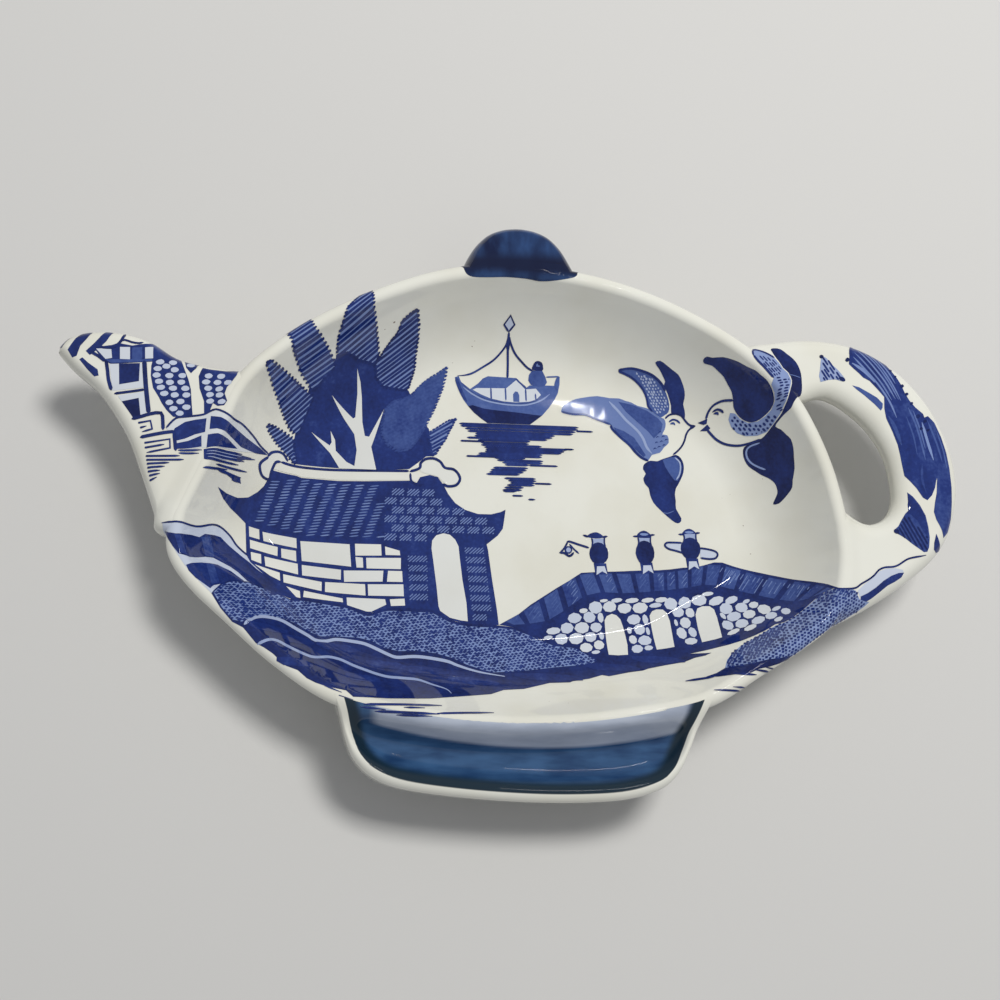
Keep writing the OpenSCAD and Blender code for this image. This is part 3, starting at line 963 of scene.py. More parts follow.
patch("grounds", [
    (-43.7, -13), (-42.3, -12), (-40, -11.9), (-38.5, -12.4), (-36, -13.2), (-34, -14),
    (-32, -13.9), (-26, -14.5), (-22.5, -15.7), (-19.5, -14.9), (-16.8, -14.95), (-13, -15),
    (-10.5, -16.3), (-8, -16.9), (-2.9, -17.05), (-0.5, -17.3), (1.5, -18), (3.5, -18.9),
    (5.5, -19.9), (9, -20.2), (10.5, -21.3), (13.4, -21.6), (17, -21.5), (20.7, -20.8), (24, -20.3),
    (27, -19.9), (30, -19.1), (33, -18.3), (36, -17.5), (38, -17.2), (36.5, -18.1), (35, -18.8),
    (33, -19.6), (31, -20.2), (28, -20.9), (25.5, -21.4), (28.4, -21.4), (27.5, -21.8), (26, -22.1),
    (24.5, -22.7), (21.5, -23.2), (19, -23.7), (18.2, -24), (16, -24.3), (13, -24.9), (12, -24.7),
    (10, -25.3), (7.5, -25.7), (7, -25.9), (4, -26), (2, -26.5), (0, -27), (-3, -27.2), (-5, -27.9),
    (-7, -28.1), (-10, -28.4), (-14, -28.8), (-20, -29), (-25, -28.9), (-26, -28), (-28.7, -27.5),
    (-30.2, -27), (-31.4, -26.4), (-32.7, -25.3), (-34.3, -24.7), (-36.2, -23), (-37.4, -22.2),
    (-38.5, -21.6), (-40.3, -19.5), (-41.8, -18.7), (-43.5, -16.8), (-44.8, -14.8)
], NAVY - 0.04)
count("hill and bank:")

# %% [markdown]
# The engraver stippled the grass: a pale band crossed by rows of small dark lozenges. Below it two
# pale ridge lines run along the bank, and thin strokes of shallow water lie near the foot.

# %% Stippled grass and ridge lines
grass = [
    (-44.5, -14.7), (-43.5, -13.1), (-42.3, -12.3), (-40, -12.1), (-38.5, -12.6), (-36, -13.4),
    (-34, -14.2), (-32, -14.1), (-26, -14.8), (-22.5, -15.9), (-19.5, -15.1), (-13, -15.3),
    (-10.5, -16.6), (-8, -17.2), (-3, -17.4), (-0.5, -17.7), (1.5, -18.4), (3.5, -19.3),
    (5.5, -20.1), (8.6, -20.4), (10.2, -21.4), (11.7, -22.4), (10.5, -22.9), (8, -23.2), (5, -23.5),
    (2, -23.9), (-1, -24.2), (-4, -24.4), (-6, -23.9), (-8, -23.2), (-10, -22.2), (-12.5, -21.5),
    (-15, -21.2), (-18, -21.3), (-20, -20.9), (-22, -19.8), (-24, -19.4), (-27, -19.4),
    (-29.5, -19.6), (-31, -19.1), (-33, -17.9), (-35, -17.3), (-37, -17.1), (-38.5, -17.3),
    (-39.7, -18.2), (-40.5, -18.7), (-41.8, -18.4), (-43.3, -16.7)
]
patch("gaps", grass, 0.42)
net(grass, 0.62, (0.33, 0.23), SOLID, 8)
stroke("strokes", [
    (-34, -14.1), (-32, -13.95), (-26, -14.6), (-22.5, -15.8), (-19.5, -14.95), (-13, -15.1),
    (-10.5, -16.4), (-8, -17), (-3, -17.2)
], 0.4, LINE)
hatch("strokes", [
    (-40.5, -12.1), (-36, -13.4), (-33, -14.2), (-33, -17.6), (-36, -17), (-38.6, -17)
], -55, 0.5, 0.13, WASH, 0.1, 0.4, 1.6, 0.4)
stroke("gaps", [
    (-40.2, -19.1), (-39.1, -18), (-38.1, -17.5), (-36.6, -17.4), (-35, -17.7), (-33.1, -18.7),
    (-31.4, -19.6), (-30.2, -20.3), (-28.7, -20.3), (-27.25, -19.9), (-25.2, -20), (-23.1, -20.3),
    (-21.4, -21), (-19.75, -21.8), (-18.3, -22.3), (-16, -22.1), (-14, -22.2), (-11, -22.7),
    (-9.5, -23.3), (-7.5, -24), (-5.5, -24.5), (-2.5, -25)
], 0.5, 0.30, (0.4, 9))
stroke("gaps", [
    (-38.3, -21.8), (-36.8, -21.1), (-35.6, -21.1), (-34.3, -21.7), (-32.7, -22.4), (-31, -23),
    (-29.75, -23), (-28.3, -22.8), (-26.6, -23.1), (-24.75, -23.9), (-23.1, -24.5), (-21.4, -25.1),
    (-19.75, -25.5), (-18, -25.6), (-15.5, -25.8), (-13.5, -26.5), (-11.5, -27.2), (-10.8, -27.9)
], 0.42, 0.34, (0.4, 6))
for x, y, w in (
    (-37.6, -18.9, 1.1), (-33.2, -20.3, 0.9), (-27.5, -20.9, 1.3), (-20.5, -23.3, 1.2),
    (-24, -25.6, 1.0), (-33.6, -23.9, 1.0), (-15, -24, 1.4), (-8, -25.6, 1.5), (3, -24.8, 2),
    (13, -23.2, 1.6), (20, -22, 1.5)
):
    patch("gaps", [(x - w * 2, y + 0.4), (x + w * 2, y + 0.1), (x + w * 3, y - 0.8),
                   (x - w, y - 0.7)], SOLID, 2)
for a, b, w in (
    ((-23.6, -29.9), (-12.5, -29.9), 0.32), ((-22, -30.8), (-13, -31.2), 0.35),
    ((-18, -30.3), (-15, -30.35), 0.3), ((-19, -31.3), (-14, -31.5), 0.3),
    ((-13.4, -31.1), (-5.2, -30.9), 0.28), ((-29, -27.4), (-26.6, -28.3), 0.25),
    ((-28.2, -27.2), (-25.8, -28), 0.25), ((-24, -30.2), (-20.5, -30.6), 0.3),
    ((-27, -28.7), (-25, -29.3), 0.22)
):
    stroke("strokes", [a, b], w, SOLID, (1, 2.2))
count("grass:")

# %% [markdown]
# The pavilion's wall, roof and gate are one more dark silhouette. White bricks and the doorway are
# gaps in it.

# %% Pavilion wall
patch("grounds", [
    (-44.7, 1.3), (-43.5, 0.8), (-42, 0.6), (-40.5, 1), (-39.2, 2), (-38.3, 3), (-37.7, 4.2),
    (-37.2, 5.5), (-33.6, 5.1), (-32.75, 4.8), (-27.3, 4.5), (-23.2, 4.6), (-16.3, 4.9),
    (-15.4, 4.6), (-14.9, 5.5), (-13.4, 5.9), (-12.2, 5.6), (-11.3, 4.4), (-10.6, 3), (-9.5, 1.6),
    (-8, 0.6), (-6, 0), (-4, 0), (-2.5, 0.4), (-1.75, 0.8), (-2, -1), (-2.2, -2.2), (-3, -3.3),
    (-4.7, -4.7), (-4.5, -5.5), (-3.9, -10), (-3.2, -14.5), (-2.9, -17), (-8, -16.85),
    (-10.5, -16.25), (-13, -14.95), (-16.8, -14.9), (-19.5, -14.8), (-22.5, -15.65), (-26, -14.45),
    (-32, -13.8), (-33.9, -13.95), (-36.5, -11.6), (-39.9, -8.6), (-40.5, -7.5), (-40.8, -2.7),
    (-42, -1.7), (-43, -1), (-44, 0)
], SOLID)
BRICKS = [
    [(-40.3, -3.1), (-38.8, -3.4), (-38.7, -4.9), (-40.2, -4.6)],
    [(-38.3, -3.7), (-33.3, -4.5), (-33.2, -6), (-38.1, -5.1)],
    [(-40.1, -5.1), (-36, -5.9), (-36, -7.3), (-40, -6.4)],
    [(-35.5, -6.1), (-33.3, -6.4), (-33.2, -8), (-35.4, -7.5)],
    [(-39.9, -7), (-38.4, -7.2), (-38.3, -8.7), (-39.75, -8.25)],
    [(-37.9, -7.5), (-33, -8.35), (-32.9, -10), (-37.7, -9)],
    [(-39.3, -8.9), (-35.6, -9.9), (-35.5, -11.2), (-37, -10.5)],
    [(-35.1, -10.1), (-29.4, -11), (-29.4, -12.4), (-35, -11.4)],
    [(-34.6, -12), (-32.6, -12.6), (-32.5, -13.7), (-33.1, -13.6)],
    [(-32, -12.5), (-26.3, -13.4), (-26.2, -14), (-32.1, -13.5)],
    [(-32.7, -4.9), (-25.4, -5.2), (-25.1, -8.6), (-32.4, -7.9)],
    [(-24.6, -5.1), (-20.7, -5.1), (-20.6, -6.8), (-24.5, -6.9)],
    [(-20.1, -5.4), (-17.9, -6), (-17.8, -6.7), (-20, -6.7)],
    [(-24.5, -7.1), (-23.4, -7.2), (-23.3, -8.7), (-24.3, -8.7)],
    [(-22.9, -7.2), (-17.7, -7.1), (-17.7, -8.8), (-22.8, -8.8)],
    [(-32.4, -8.5), (-26.6, -9.1), (-26.6, -10.6), (-32.3, -10.1)],
    [(-26.2, -9.2), (-20.3, -9.1), (-20.4, -10.75), (-26.1, -10.9)],
    [(-19.6, -9.1), (-17.5, -9.1), (-17.4, -10.75), (-19.75, -10.75)],
    [(-28.9, -11), (-23, -11.2), (-22.9, -12.9), (-28.9, -12.5)],
    [(-22.6, -11.2), (-17.3, -11.1), (-17.2, -12.9), (-22.5, -12.9)],
    [(-25.7, -13.25), (-20, -13.4), (-19.8, -14.2), (-22, -15.3), (-22.7, -15.3), (-25.6, -14.4)],
    [(-19.3, -13.4), (-17.1, -13.25), (-17, -14.3), (-19.1, -14.4)]
]
for brick in BRICKS:
    patch("gaps", brick, 0.04 + random.uniform(-0.02, 0.02))
doorway = [
    (-13.1, -5.5), (-13, -4.3), (-12.4, -3.5), (-11.3, -3.15), (-10.3, -3.35), (-9.5, -4.1),
    (-9, -5.1), (-8.8, -7), (-8.4, -10.3), (-7.8, -13.7), (-7.6, -16.5), (-8.6, -16.4),
    (-10.3, -16), (-11.75, -15), (-12, -14.3), (-12.3, -11.4), (-12.8, -7.6)
]
patch("gaps", doorway, 0.05)
count("pavilion wall:")

# %% [markdown]
# The tiles of the roof are short pale dashes in slanting columns. The gate's roof and its two
# posts are laid in staggered blocks, each one a small hatch.

# %% Roof and gate
TILE_PITCH, TILE_SLANT, TILE_HALF = (2.1, 0.46), 0.38, 0.68
roof = [
    (-38.6, 1.5), (-37, 4.2), (-33.2, 4.5), (-27.3, 4.1), (-23.2, 4.2), (-20.3, 3.9), (-20.2, -4),
    (-25, -4.4), (-30, -4.4), (-35, -3.6), (-39.2, -2.4), (-40.6, -1.2)
]
for column in np.arange(-42.5, -18.5, TILE_PITCH[0]):
    for y in np.arange(-4.4, 4.6, TILE_PITCH[1]):
        x = column + (y + 0.6) * TILE_SLANT + random.uniform(-0.12, 0.12)
        if within((x - 0.5, y), roof) and within((x + 0.5, y), roof):
            stroke("gaps", [(x - TILE_HALF, y - 0.08), (x + TILE_HALF, y + 0.1)], 0.18,
                   0.42 + random.uniform(0, 0.14), (0.3, 0.3))
gate_roof = [
    (-20.2, 3.9), (-16, 4.1), (-13.5, 5.2), (-12, 4.6), (-11, 3), (-9.8, 1.4), (-8, 0.3),
    (-6, -0.3), (-3.2, -0.2), (-2.7, -1.8), (-4, -3.2), (-5.2, -3.6), (-8, -3), (-10.5, -2.6),
    (-13, -3), (-14, -4.2), (-19.6, -4.4), (-20.4, -3)
]
for row, y in enumerate(np.arange(-4.5, 5, 1.4)):
    for x in np.arange(-20.4 + row % 2 * 1.1, -3, 2.3):
        block = [(x, y), (x + 1.9, y), (x + 2.15, y + 1.15), (x + 0.25, y + 1.15)]
        if within((x + 0.6, y + 0.6), gate_roof) and within((x + 1.7, y + 0.5), gate_roof):
            hatch("gaps", block, 42, 0.34, 0.16, 0.46, 0.05)
for posts in (
    [(-16.9, -6.4), (-13.6, -6), (-13.4, -14), (-16.4, -14.3)],
    [(-8.3, -5), (-5, -5.4), (-3.7, -15.8), (-7, -16.2)]
):
    for y in np.arange(-16.4, -4.5, 1.45):
        for low, high in spans(posts, Vector((-20, y + 0.5)), Vector((1, 0))):
            low, high = low - 20, high - 20
            row = [(low + 0.1, y), (high - 0.1, y), (high - 0.1, y + 1.05), (low + 0.1, y + 1.05)]
            hatch("gaps", row, 42, 0.35, 0.15, 0.48, 0.06)
count("roof and gate:")

# %% [markdown]
# A white ridge beam closes the roof, and both its ends curl up.

# %% Ridge of the roof
patch("gaps", [
    (-35.9, 6.7), (-33.6, 6.3), (-29.4, 6.0), (-25.25, 6.0), (-21.1, 6.1), (-16.6, 6.2),
    (-15.2, 6.3), (-15, 5.7), (-15.4, 4.7), (-16.3, 5), (-23.2, 4.75), (-27.3, 4.65),
    (-32.75, 4.95), (-33.6, 5.25), (-37, 5.7)
], 0.03)
stroke("strokes", [
    (-35.9, 6.9), (-33.6, 6.5), (-29.4, 6.2), (-25.25, 6.2), (-21.1, 6.3), (-16.6, 6.4)
], 0.4, LINE)
patch("gaps", [
    (-37.9, 7.3), (-37.3, 8), (-36.3, 8.3), (-35.5, 8), (-35, 7), (-36, 6.9), (-36.7, 6.6),
    (-37.3, 5.2), (-37.6, 4.2), (-38.6, 4.5), (-38.9, 5.5), (-38.7, 6.3)
], 0.04, 3)
stroke("strokes", [(-37.9, 7.3), (-37.3, 8), (-36.3, 8.3), (-35.5, 8), (-34.9, 7.1)], 0.38, LINE)
stroke("strokes", [
    (-37.75, 7.3), (-38.8, 6.3), (-39, 5.5), (-38.6, 4.4), (-37.6, 4.1), (-37.3, 5.25),
    (-36.7, 6.7), (-35.9, 6.9)
], 0.38, LINE)
patch("gaps", [
    (-14.9, 6.5), (-14.6, 7.6), (-13.9, 8.1), (-12.8, 8.2), (-11.9, 7.8), (-11.1, 6.9), (-9.8, 6.6),
    (-9.2, 6), (-9, 5.2), (-9.6, 4.6), (-10.6, 4.4), (-11.4, 4.9), (-12.3, 5.7), (-13.6, 6)
], 0.04, 3)
stroke("strokes", [
    (-16.5, 6.3), (-15, 6.9), (-14.8, 7.75), (-14, 8.4), (-12.75, 8.5), (-11.8, 8), (-11.1, 7.1),
    (-9.8, 6.9), (-9, 6.1), (-8.8, 5.25), (-9.4, 4.4), (-10.7, 4.2), (-11.4, 4.6)
], 0.42, LINE)
stroke("strokes", [(-16.4, 6.1), (-16.2, 4.8), (-15, 4.2), (-14.6, 4.4)], 0.35, LINE)
count("ridge:")

# %% [markdown]
# Behind the roof stands a tree of big feathery fronds. Each frond is a pale shape with dark
# strokes that all slant the same way, so that its edge looks like a comb. The fronds grow out of a
# solid heart, and the bare trunk and its branches are one white gap in it.

# %% Tree of fronds
patch("grounds", [
    (-34.2, 6.9), (-34.6, 8.6), (-34, 10.8), (-33.8, 12.2), (-33, 14.4), (-32.4, 16.6), (-32, 18),
    (-30.6, 18.9), (-29.4, 20.3), (-28.5, 21.7), (-27.9, 22.8), (-26.6, 23.8), (-25.6, 24.6),
    (-24.4, 25), (-23, 24.2), (-21.8, 23.2), (-20.4, 21.8), (-18.4, 20.2), (-16.8, 19.2),
    (-16.2, 18), (-15.6, 16.6), (-14.6, 14.4), (-13.6, 13.2), (-13, 10.6), (-12.7, 8.9), (-14, 8.8),
    (-15.2, 7.8), (-16.6, 6.7), (-20, 6.5), (-25, 6.4), (-30, 6.6)
], SOLID)
TOOTH = 0.52
FRONDS = {
    "far left": ([
        (-35.6, 24.2), (-34.8, 22.8), (-34.6, 21.7), (-34, 20.5), (-33.4, 19.4), (-32.6, 18.6),
        (-31.5, 17.5), (-28.4, 21), (-28.2, 21.1), (-28.4, 21.7), (-29.4, 23), (-30.5, 24),
        (-31.7, 25), (-32, 25.9), (-33, 26.6), (-34, 25.7)
    ], 38, 0.80),
    "middle": ([
        (-23.4, 31.2), (-24.6, 30.7), (-25.9, 29.2), (-26.8, 28.2), (-27.3, 26.7), (-27.9, 25),
        (-28.1, 23.6), (-28, 22.3), (-26.6, 23.2), (-24.8, 22.6), (-22.2, 22.4), (-21.6, 23.6),
        (-21.8, 24.2), (-22.1, 25.9), (-22.5, 27.5), (-23, 29), (-23.1, 30.4)
    ], 40, 0.82),
    "right": ([
        (-16.2, 29.8), (-17.1, 29.3), (-18.4, 28.2), (-19, 26.7), (-20, 25.5), (-21.1, 24),
        (-22.2, 22.4), (-21.9, 20.6), (-20.8, 19.5), (-17.4, 19.2), (-16.9, 19.4), (-16.5, 20.7),
        (-16, 22.5), (-15.9, 24.6), (-15.7, 26.7), (-15.8, 28.4)
    ], 38, 0.84),
    "low right": ([
        (-10.9, 23.2), (-12.1, 22.3), (-13.6, 21.3), (-14.8, 20.3), (-16.1, 18.8), (-17.2, 18),
        (-19.2, 17.4), (-20.4, 16), (-20.8, 14.2), (-20.8, 12.2), (-20, 10.4), (-18.4, 9.4),
        (-16.6, 9.8), (-15.4, 11.2), (-14, 13.8), (-13, 15.9), (-12.1, 18.2), (-11.5, 19.8),
        (-11.1, 21.5)
    ], 30, 0.68),
    "bottom right": ([
        (-9.4, 15), (-10.7, 14.6), (-12.1, 13.6), (-13.6, 12.6), (-13.2, 9), (-12.6, 9),
        (-12.1, 10), (-11.1, 11.5), (-10.3, 13.2)
    ], 32, 0.74),
    "left": ([
        (-38.4, 19.1), (-37.75, 19.6), (-36.3, 19.2), (-34.8, 18.6), (-33.6, 18), (-32.3, 17.3),
        (-31.3, 16.9), (-33.4, 11.4), (-34, 11.3), (-34.8, 11.9), (-35.7, 13.4), (-36.5, 15.2),
        (-37.3, 16.7), (-38, 18.2)
    ], 45, 0.84),
    "bottom left": ([
        (-38.1, 11.8), (-36.7, 11.7), (-35.7, 11.3), (-34.2, 10.6), (-33.6, 7), (-34, 6.9),
        (-34.8, 7.75), (-36.1, 9), (-37.1, 10), (-38, 11.1)
    ], 42, 0.84)
}
for outline, degrees, ink in FRONDS.values():
    middle = sum((Vector(p) for p in outline), Vector((0, 0))) / len(outline)
    patch("gaps", [Vector(p).lerp(middle, 0.04) for p in outline], 0.44 if ink > 0.7 else 0.7)
    hatch("strokes", outline, degrees, 0.5, 0.33, ink + 0.04, -0.05, 0.25)
    for a, b in zip(map(Vector, outline), map(Vector, outline[1:] + outline[:1])):
        teeth = round((b - a).length / TOOTH)
        for k in range(teeth):
            spot("strokes", a.lerp(b, (k + 0.5) / teeth), (0.3, 0.16), ink + 0.07,
                 math.radians(degrees), 6, 0.2)
patch("strokes", [
    (-27.2, 6.45), (-21.6, 6.45), (-22.4, 10), (-21.9, 11.5), (-20.5, 16.1), (-22.75, 11.6),
    (-23.4, 11.7), (-23.8, 13.8), (-24, 17.75), (-24.3, 19.8), (-24.9, 21.5), (-24.7, 18.2),
    (-24.9, 14.6), (-25.25, 14.4), (-28.6, 17.5), (-26.7, 14.4), (-25, 11.9), (-24.6, 9.4),
    (-24.9, 6.9), (-26.1, 7.5), (-27.75, 9.2), (-27.9, 10.9), (-28.6, 12.3), (-28.4, 10.5),
    (-28.7, 10), (-31.5, 11.9), (-28.6, 8.8), (-27.3, 6.7)
], 0.06)
count("tree:")

# %% [markdown]
# The boat rides high on the far wall of the well: a washed hull that is dark at the keel, a small
# cabin, a mast with a diamond pennant and two stays, and one passenger. Its reflection is a stack
# of level strokes that get shorter towards the viewer.

# %% Boat and its reflection
patch("grounds", [
    (-9.6, 21.7), (-9, 21.9), (-8.6, 21), (-7.2, 19.9), (-5.9, 20.9), (-5.2, 21.7), (-4.4, 22.1),
    (0, 22), (1.6, 20.4), (2.2, 20.9), (5.2, 21), (6.2, 21), (6.5, 22.3), (7, 22.5), (7, 21.3),
    (6.7, 19.8), (6.1, 18.6), (5.2, 17.3), (4.2, 16.1), (3.1, 15.2), (2.2, 14.5), (-4.5, 14.5),
    (-5.5, 15.2), (-6.6, 16.1), (-7.5, 17.1), (-8.3, 18.2), (-8.9, 19.5), (-9.4, 20.8)
], 0.60)
patch("gaps", [
    (-7.5, 17.1), (-6.8, 17.3), (-5, 16.8), (-3, 16.6), (0, 16.4), (3, 16.1), (4.1, 16),
    (3.1, 15.2), (2.2, 14.5), (-4.5, 14.5), (-5.5, 15.2), (-6.6, 16.1)
], NAVY)
patch("gaps", [
    (-6.2, 20.1), (-1.5, 20.25), (0.1, 21.7), (1.5, 20.2), (3.2, 20.4), (4, 19.4), (3, 18.4),
    (2, 18.2), (0, 18), (-2, 18.1), (-4, 18.5), (-5.5, 19.1), (-6.8, 19.8)
], 0.12)
stroke("gaps", [
    (-8.3, 20.2), (-7, 19.2), (-5, 18.2), (-2.5, 17.7), (0, 17.55), (2, 17.75), (4, 18.5),
    (5.4, 19.6)
], 0.24, 0.36, (1, 1))
stroke("strokes", [
    (-8.6, 20.9), (-7, 19.5), (-5, 18.5), (-2.5, 18), (0, 17.85), (2, 18.05), (4, 18.9)
], 0.2, 0.68, (1, 1))
stroke("strokes", [(-9.4, 21.7), (-9, 20.4), (-8.4, 19), (-7.7, 17.8)], 0.55, 0.74, (0.4, 1.2))
for x, top in ((-3.95, 20.3), (-1.65, 20.4), (1.55, 20.3), (3.1, 19.6)):
    stroke("strokes", [(x, top), (x + 0.08, 18.25)], 0.26, 0.66)
patch("strokes", [
    (-0.4, 18.1), (-0.45, 19.3), (-0.1, 19.8), (0.3, 19.75), (0.55, 19.2), (0.55, 18.1)
], 0.6)
stroke("strokes", [(0, 22), (0.5, 21.4), (1.7, 20.4)], 0.28, 0.66)
stroke("strokes", [(-1.5, 28.5), (-1.45, 26.5), (-1.3, 24), (-1.3, 21.9)], 0.36, 0.84)
patch("gaps", [(-1.55, 28.3), (-1.15, 27.4), (-1.2, 26.2), (-1.65, 26.2), (-1.85, 26.9)], NAVY)
patch("gaps", [(-1.55, 30.4), (-0.8, 29.4), (-1.55, 28.6), (-2.35, 29.35)], 0.2)
stroke("strokes", [
    (-1.55, 28.5), (-2.4, 29.35), (-1.55, 30.45), (-0.75, 29.4), (-1.55, 28.5)
], 0.3, LINE, curve=1)
stroke("strokes", [
    (-1.45, 28), (-1.75, 26.8), (-2.6, 25.6), (-3.7, 24.5), (-5.2, 23.5), (-6.8, 22.5), (-8, 22.1),
    (-9.2, 21.95)
], 0.3, 0.82, (0.2, 2))
stroke("strokes", [
    (-1.45, 28), (-1, 26.9), (-0.2, 25.6), (0.9, 24.5), (1.8, 23.7), (2.7, 23.2)
], 0.32, LINE)
patch("strokes", [
    (2.6, 23.4), (2.7, 24.1), (3, 24.6), (3.5, 24.75), (4.1, 24.5), (4.3, 23.9), (4.2, 23.3)
], LINE, 2)
spot("strokes", (3.5, 24.05), (0.32, 0.3), 0.5)
patch("gaps", [
    (2.6, 23.3), (4.2, 23.3), (4.7, 22.4), (5, 21.5), (4.6, 20.9), (3.6, 20.7), (2.4, 21),
    (2, 21.7), (2.1, 22.6)
], 0.66)
stroke("strokes", [(4.8, 22.35), (6.9, 22.5)], 0.22, 0.62)
stroke("strokes", [(6.8, 22.4), (6.4, 21.2), (6.6, 20.2)], 0.5, 0.64)
ripples = [
    (14.25, -8.9, 9.9), (13.9, -8.7, 9.8), (13.5, -8, 9.4), (13.1, -7.6, 9), (12.75, -6.4, 6.1),
    (12.4, -6.5, 5.7), (12.05, -7.7, 4.9), (11.7, -6, 2.2), (11.3, -5.5, 2), (10.95, -5.5, 4),
    (10.6, -5, 8.2), (10.25, -4.8, 7.6), (9.95, -4.9, 7.1), (9.6, -5.9, 4.1), (9.25, -6.2, 4),
    (8.95, -3.4, 1.4), (8.6, -3, 4.2), (8.25, -2.2, 4.1), (7.9, -1.8, 2), (7.4, -3.6, 1.8),
    (7.05, -4, 1.6), (6.7, -4.2, 1.1), (6.35, -4.7, 0.5), (5.75, -1.9, 3), (5.4, -1.3, 3.1),
    (5.05, -1, 2.9), (4.7, -1.5, 2.8), (4.3, -1.9, 1.1), (3.9, -2.2, 0.8), (3.7, -2.1, 0)
]
for y, low, high in ripples:
    stroke("strokes", [(low, y), (high, y + 0.03)], 0.35, random.uniform(0.8, 0.88), (0.4, 0.5))
for low, high, y in (
    (9.5, 12.2, 13.7), (-8.7, -5, 11.5), (7.5, 9.1, 10.7), (-7.8, -3, 9.1), (2, 6.5, 7.92),
    (2.8, 5.5, 5.05), (-0.7, 1, 3.03), (1.8, 2.9, 2.5)
):
    stroke("strokes", [(low, y), (high, y)], 0.3, LINE, (0.2, 0.4))
count("boat:")

# %% [markdown]
# Two doves meet in the air, beak to beak. Their breasts are bare clay inside one thin line. The
# left dove's wing is a soft wash with a darker wing behind it, and small ticks stand for feathers.

# %% Left dove
patch("grounds", [
    (7.2, 17), (7.6, 17.9), (8.6, 18.5), (9.5, 18.95), (11, 19.3), (13, 19.6), (15, 19.35),
    (16.5, 19.35), (17.5, 19), (18.5, 18.75), (19.5, 18.25), (21, 17.9), (21.8, 17.4), (22.8, 16.6),
    (23.7, 16.3), (24, 15.5), (23.8, 14.5), (23.4, 13.7), (24.2, 13.6), (24.4, 12.4), (23.6, 11.6),
    (22.9, 10.7), (21.6, 10.3), (21, 9.4), (20, 9.7), (18.8, 10.8), (18, 11.7), (17, 12.6),
    (16, 13.5), (15.3, 14.2), (15, 15), (14, 15.4), (12.5, 16), (11, 16.5), (9, 16.5), (7.4, 16.6)
], 0.5, 2)
stroke("gaps", [
    (14.9, 18.8), (16.4, 17.2), (17.5, 15.9), (18.6, 14.9), (19.6, 13.9), (20.3, 12.8),
    (20.8, 11.5), (21.6, 10.5)
], 0.4, 0.34, (1, 1))
patch("gaps", [
    (16.4, 18.8), (18.6, 18.4), (21, 17.5), (22.8, 16.3), (23.5, 15.4), (23.2, 14.2), (22, 13),
    (21.2, 14), (19.6, 15.4), (17.6, 17.2)
], 0.68)
patch("gaps", [
    (15.5, 14.6), (17.2, 14), (18.8, 13), (19.6, 11.8), (20.6, 10.2), (20.2, 9.9), (18.9, 11.1),
    (17.2, 12.8), (15.9, 13.9)
], 0.7)
stroke("strokes", [
    (15.1, 15), (15.3, 14.3), (16.6, 13), (18, 11.8), (18.9, 10.7), (19.9, 9.8), (21, 9.3)
], 0.4, SOLID)
stroke("strokes", [
    (7.2, 16.8), (9, 16.45), (11, 16.45), (12.5, 15.9), (14, 15.4), (15.1, 15)
], 0.35, 0.72)
for x, y in (
    (23, 14), (23.5, 13.3), (22.6, 13.2), (24, 12.8), (23.2, 12.5), (22.4, 12.3), (23.6, 11.9),
    (22.8, 11.6), (22.1, 11.3)
):
    stroke("strokes", [(x - 0.28, y - 0.1), (x, y + 0.12), (x + 0.28, y + 0.05)], 0.17, 0.8)
patch("grounds", [
    (16.2, 23.4), (16.5, 23.8), (18, 23.7), (19.8, 23.3), (21.5, 22.6), (22.9, 21.5), (23.9, 20),
    (24.5, 18.4), (24.4, 17.3), (23.9, 16.9), (23.3, 16.5), (22.8, 16.65), (21.8, 17.45),
    (21.2, 18.3), (21, 19.2), (20.6, 20.2), (19.9, 21.2), (18.8, 22.2), (17.6, 22.9)
], 0.62, 2)
stroke("strokes", [
    (16.2, 23.55), (18, 23.75), (19.8, 23.35), (21.5, 22.65), (22.9, 21.55), (23.7, 20.4)
], 0.34, SOLID)
stroke("strokes", [
    (16.2, 23.4), (17.6, 22.85), (18.8, 22.15), (19.9, 21.15), (20.6, 20.15), (21, 19.15),
    (21.2, 18.2), (21.9, 17.35)
], 0.32, SOLID)
net([
    (18.8, 23.2), (21.6, 22.2), (23.2, 20.6), (24.3, 18.2), (23.3, 16.9), (22, 17.6), (21.3, 19.3),
    (20.4, 21)
], 0.56, (0.25, 0.15), 0.3, -52, "gaps")
patch("grounds", [
    (21.6, 24.3), (22.3, 24.5), (23.3, 23.9), (24.3, 23.2), (25.3, 22.5), (26, 21.5), (26.6, 20.2),
    (26.7, 19.2), (26.6, 18.4), (26.9, 17.5), (27, 16.4), (26.4, 16.85), (25.5, 17.05),
    (24.85, 17.2), (24.75, 18.3), (24.1, 20), (23.4, 21.2), (23.5, 21.7), (23.1, 22.4), (22.4, 23.4)
], SOLID, 2)
stroke("strokes", [
    (23.9, 16.3), (24.6, 16.9), (25.6, 17.05), (26.5, 16.7), (27.1, 15.95), (27.8, 15.3),
    (28.7, 15.12)
], 0.3, LINE, (0.2, 0.2))
stroke("strokes", [
    (28.6, 15.05), (27.8, 14.65), (27.3, 13.9), (27, 12.9), (26.5, 11.9), (25.7, 11), (25, 10.45)
], 0.3, LINE)
patch("gaps", [(27.8, 15.35), (28.75, 15.12), (27.9, 14.75)], SOLID)
stroke("strokes", [(24.5, 15.75), (25.1, 16.15), (25.8, 16), (26.3, 15.55)], 0.3, 0.74)
stroke("strokes", [(24.7, 15.45), (25.2, 15.6), (25.5, 15.3)], 0.34, 0.66)
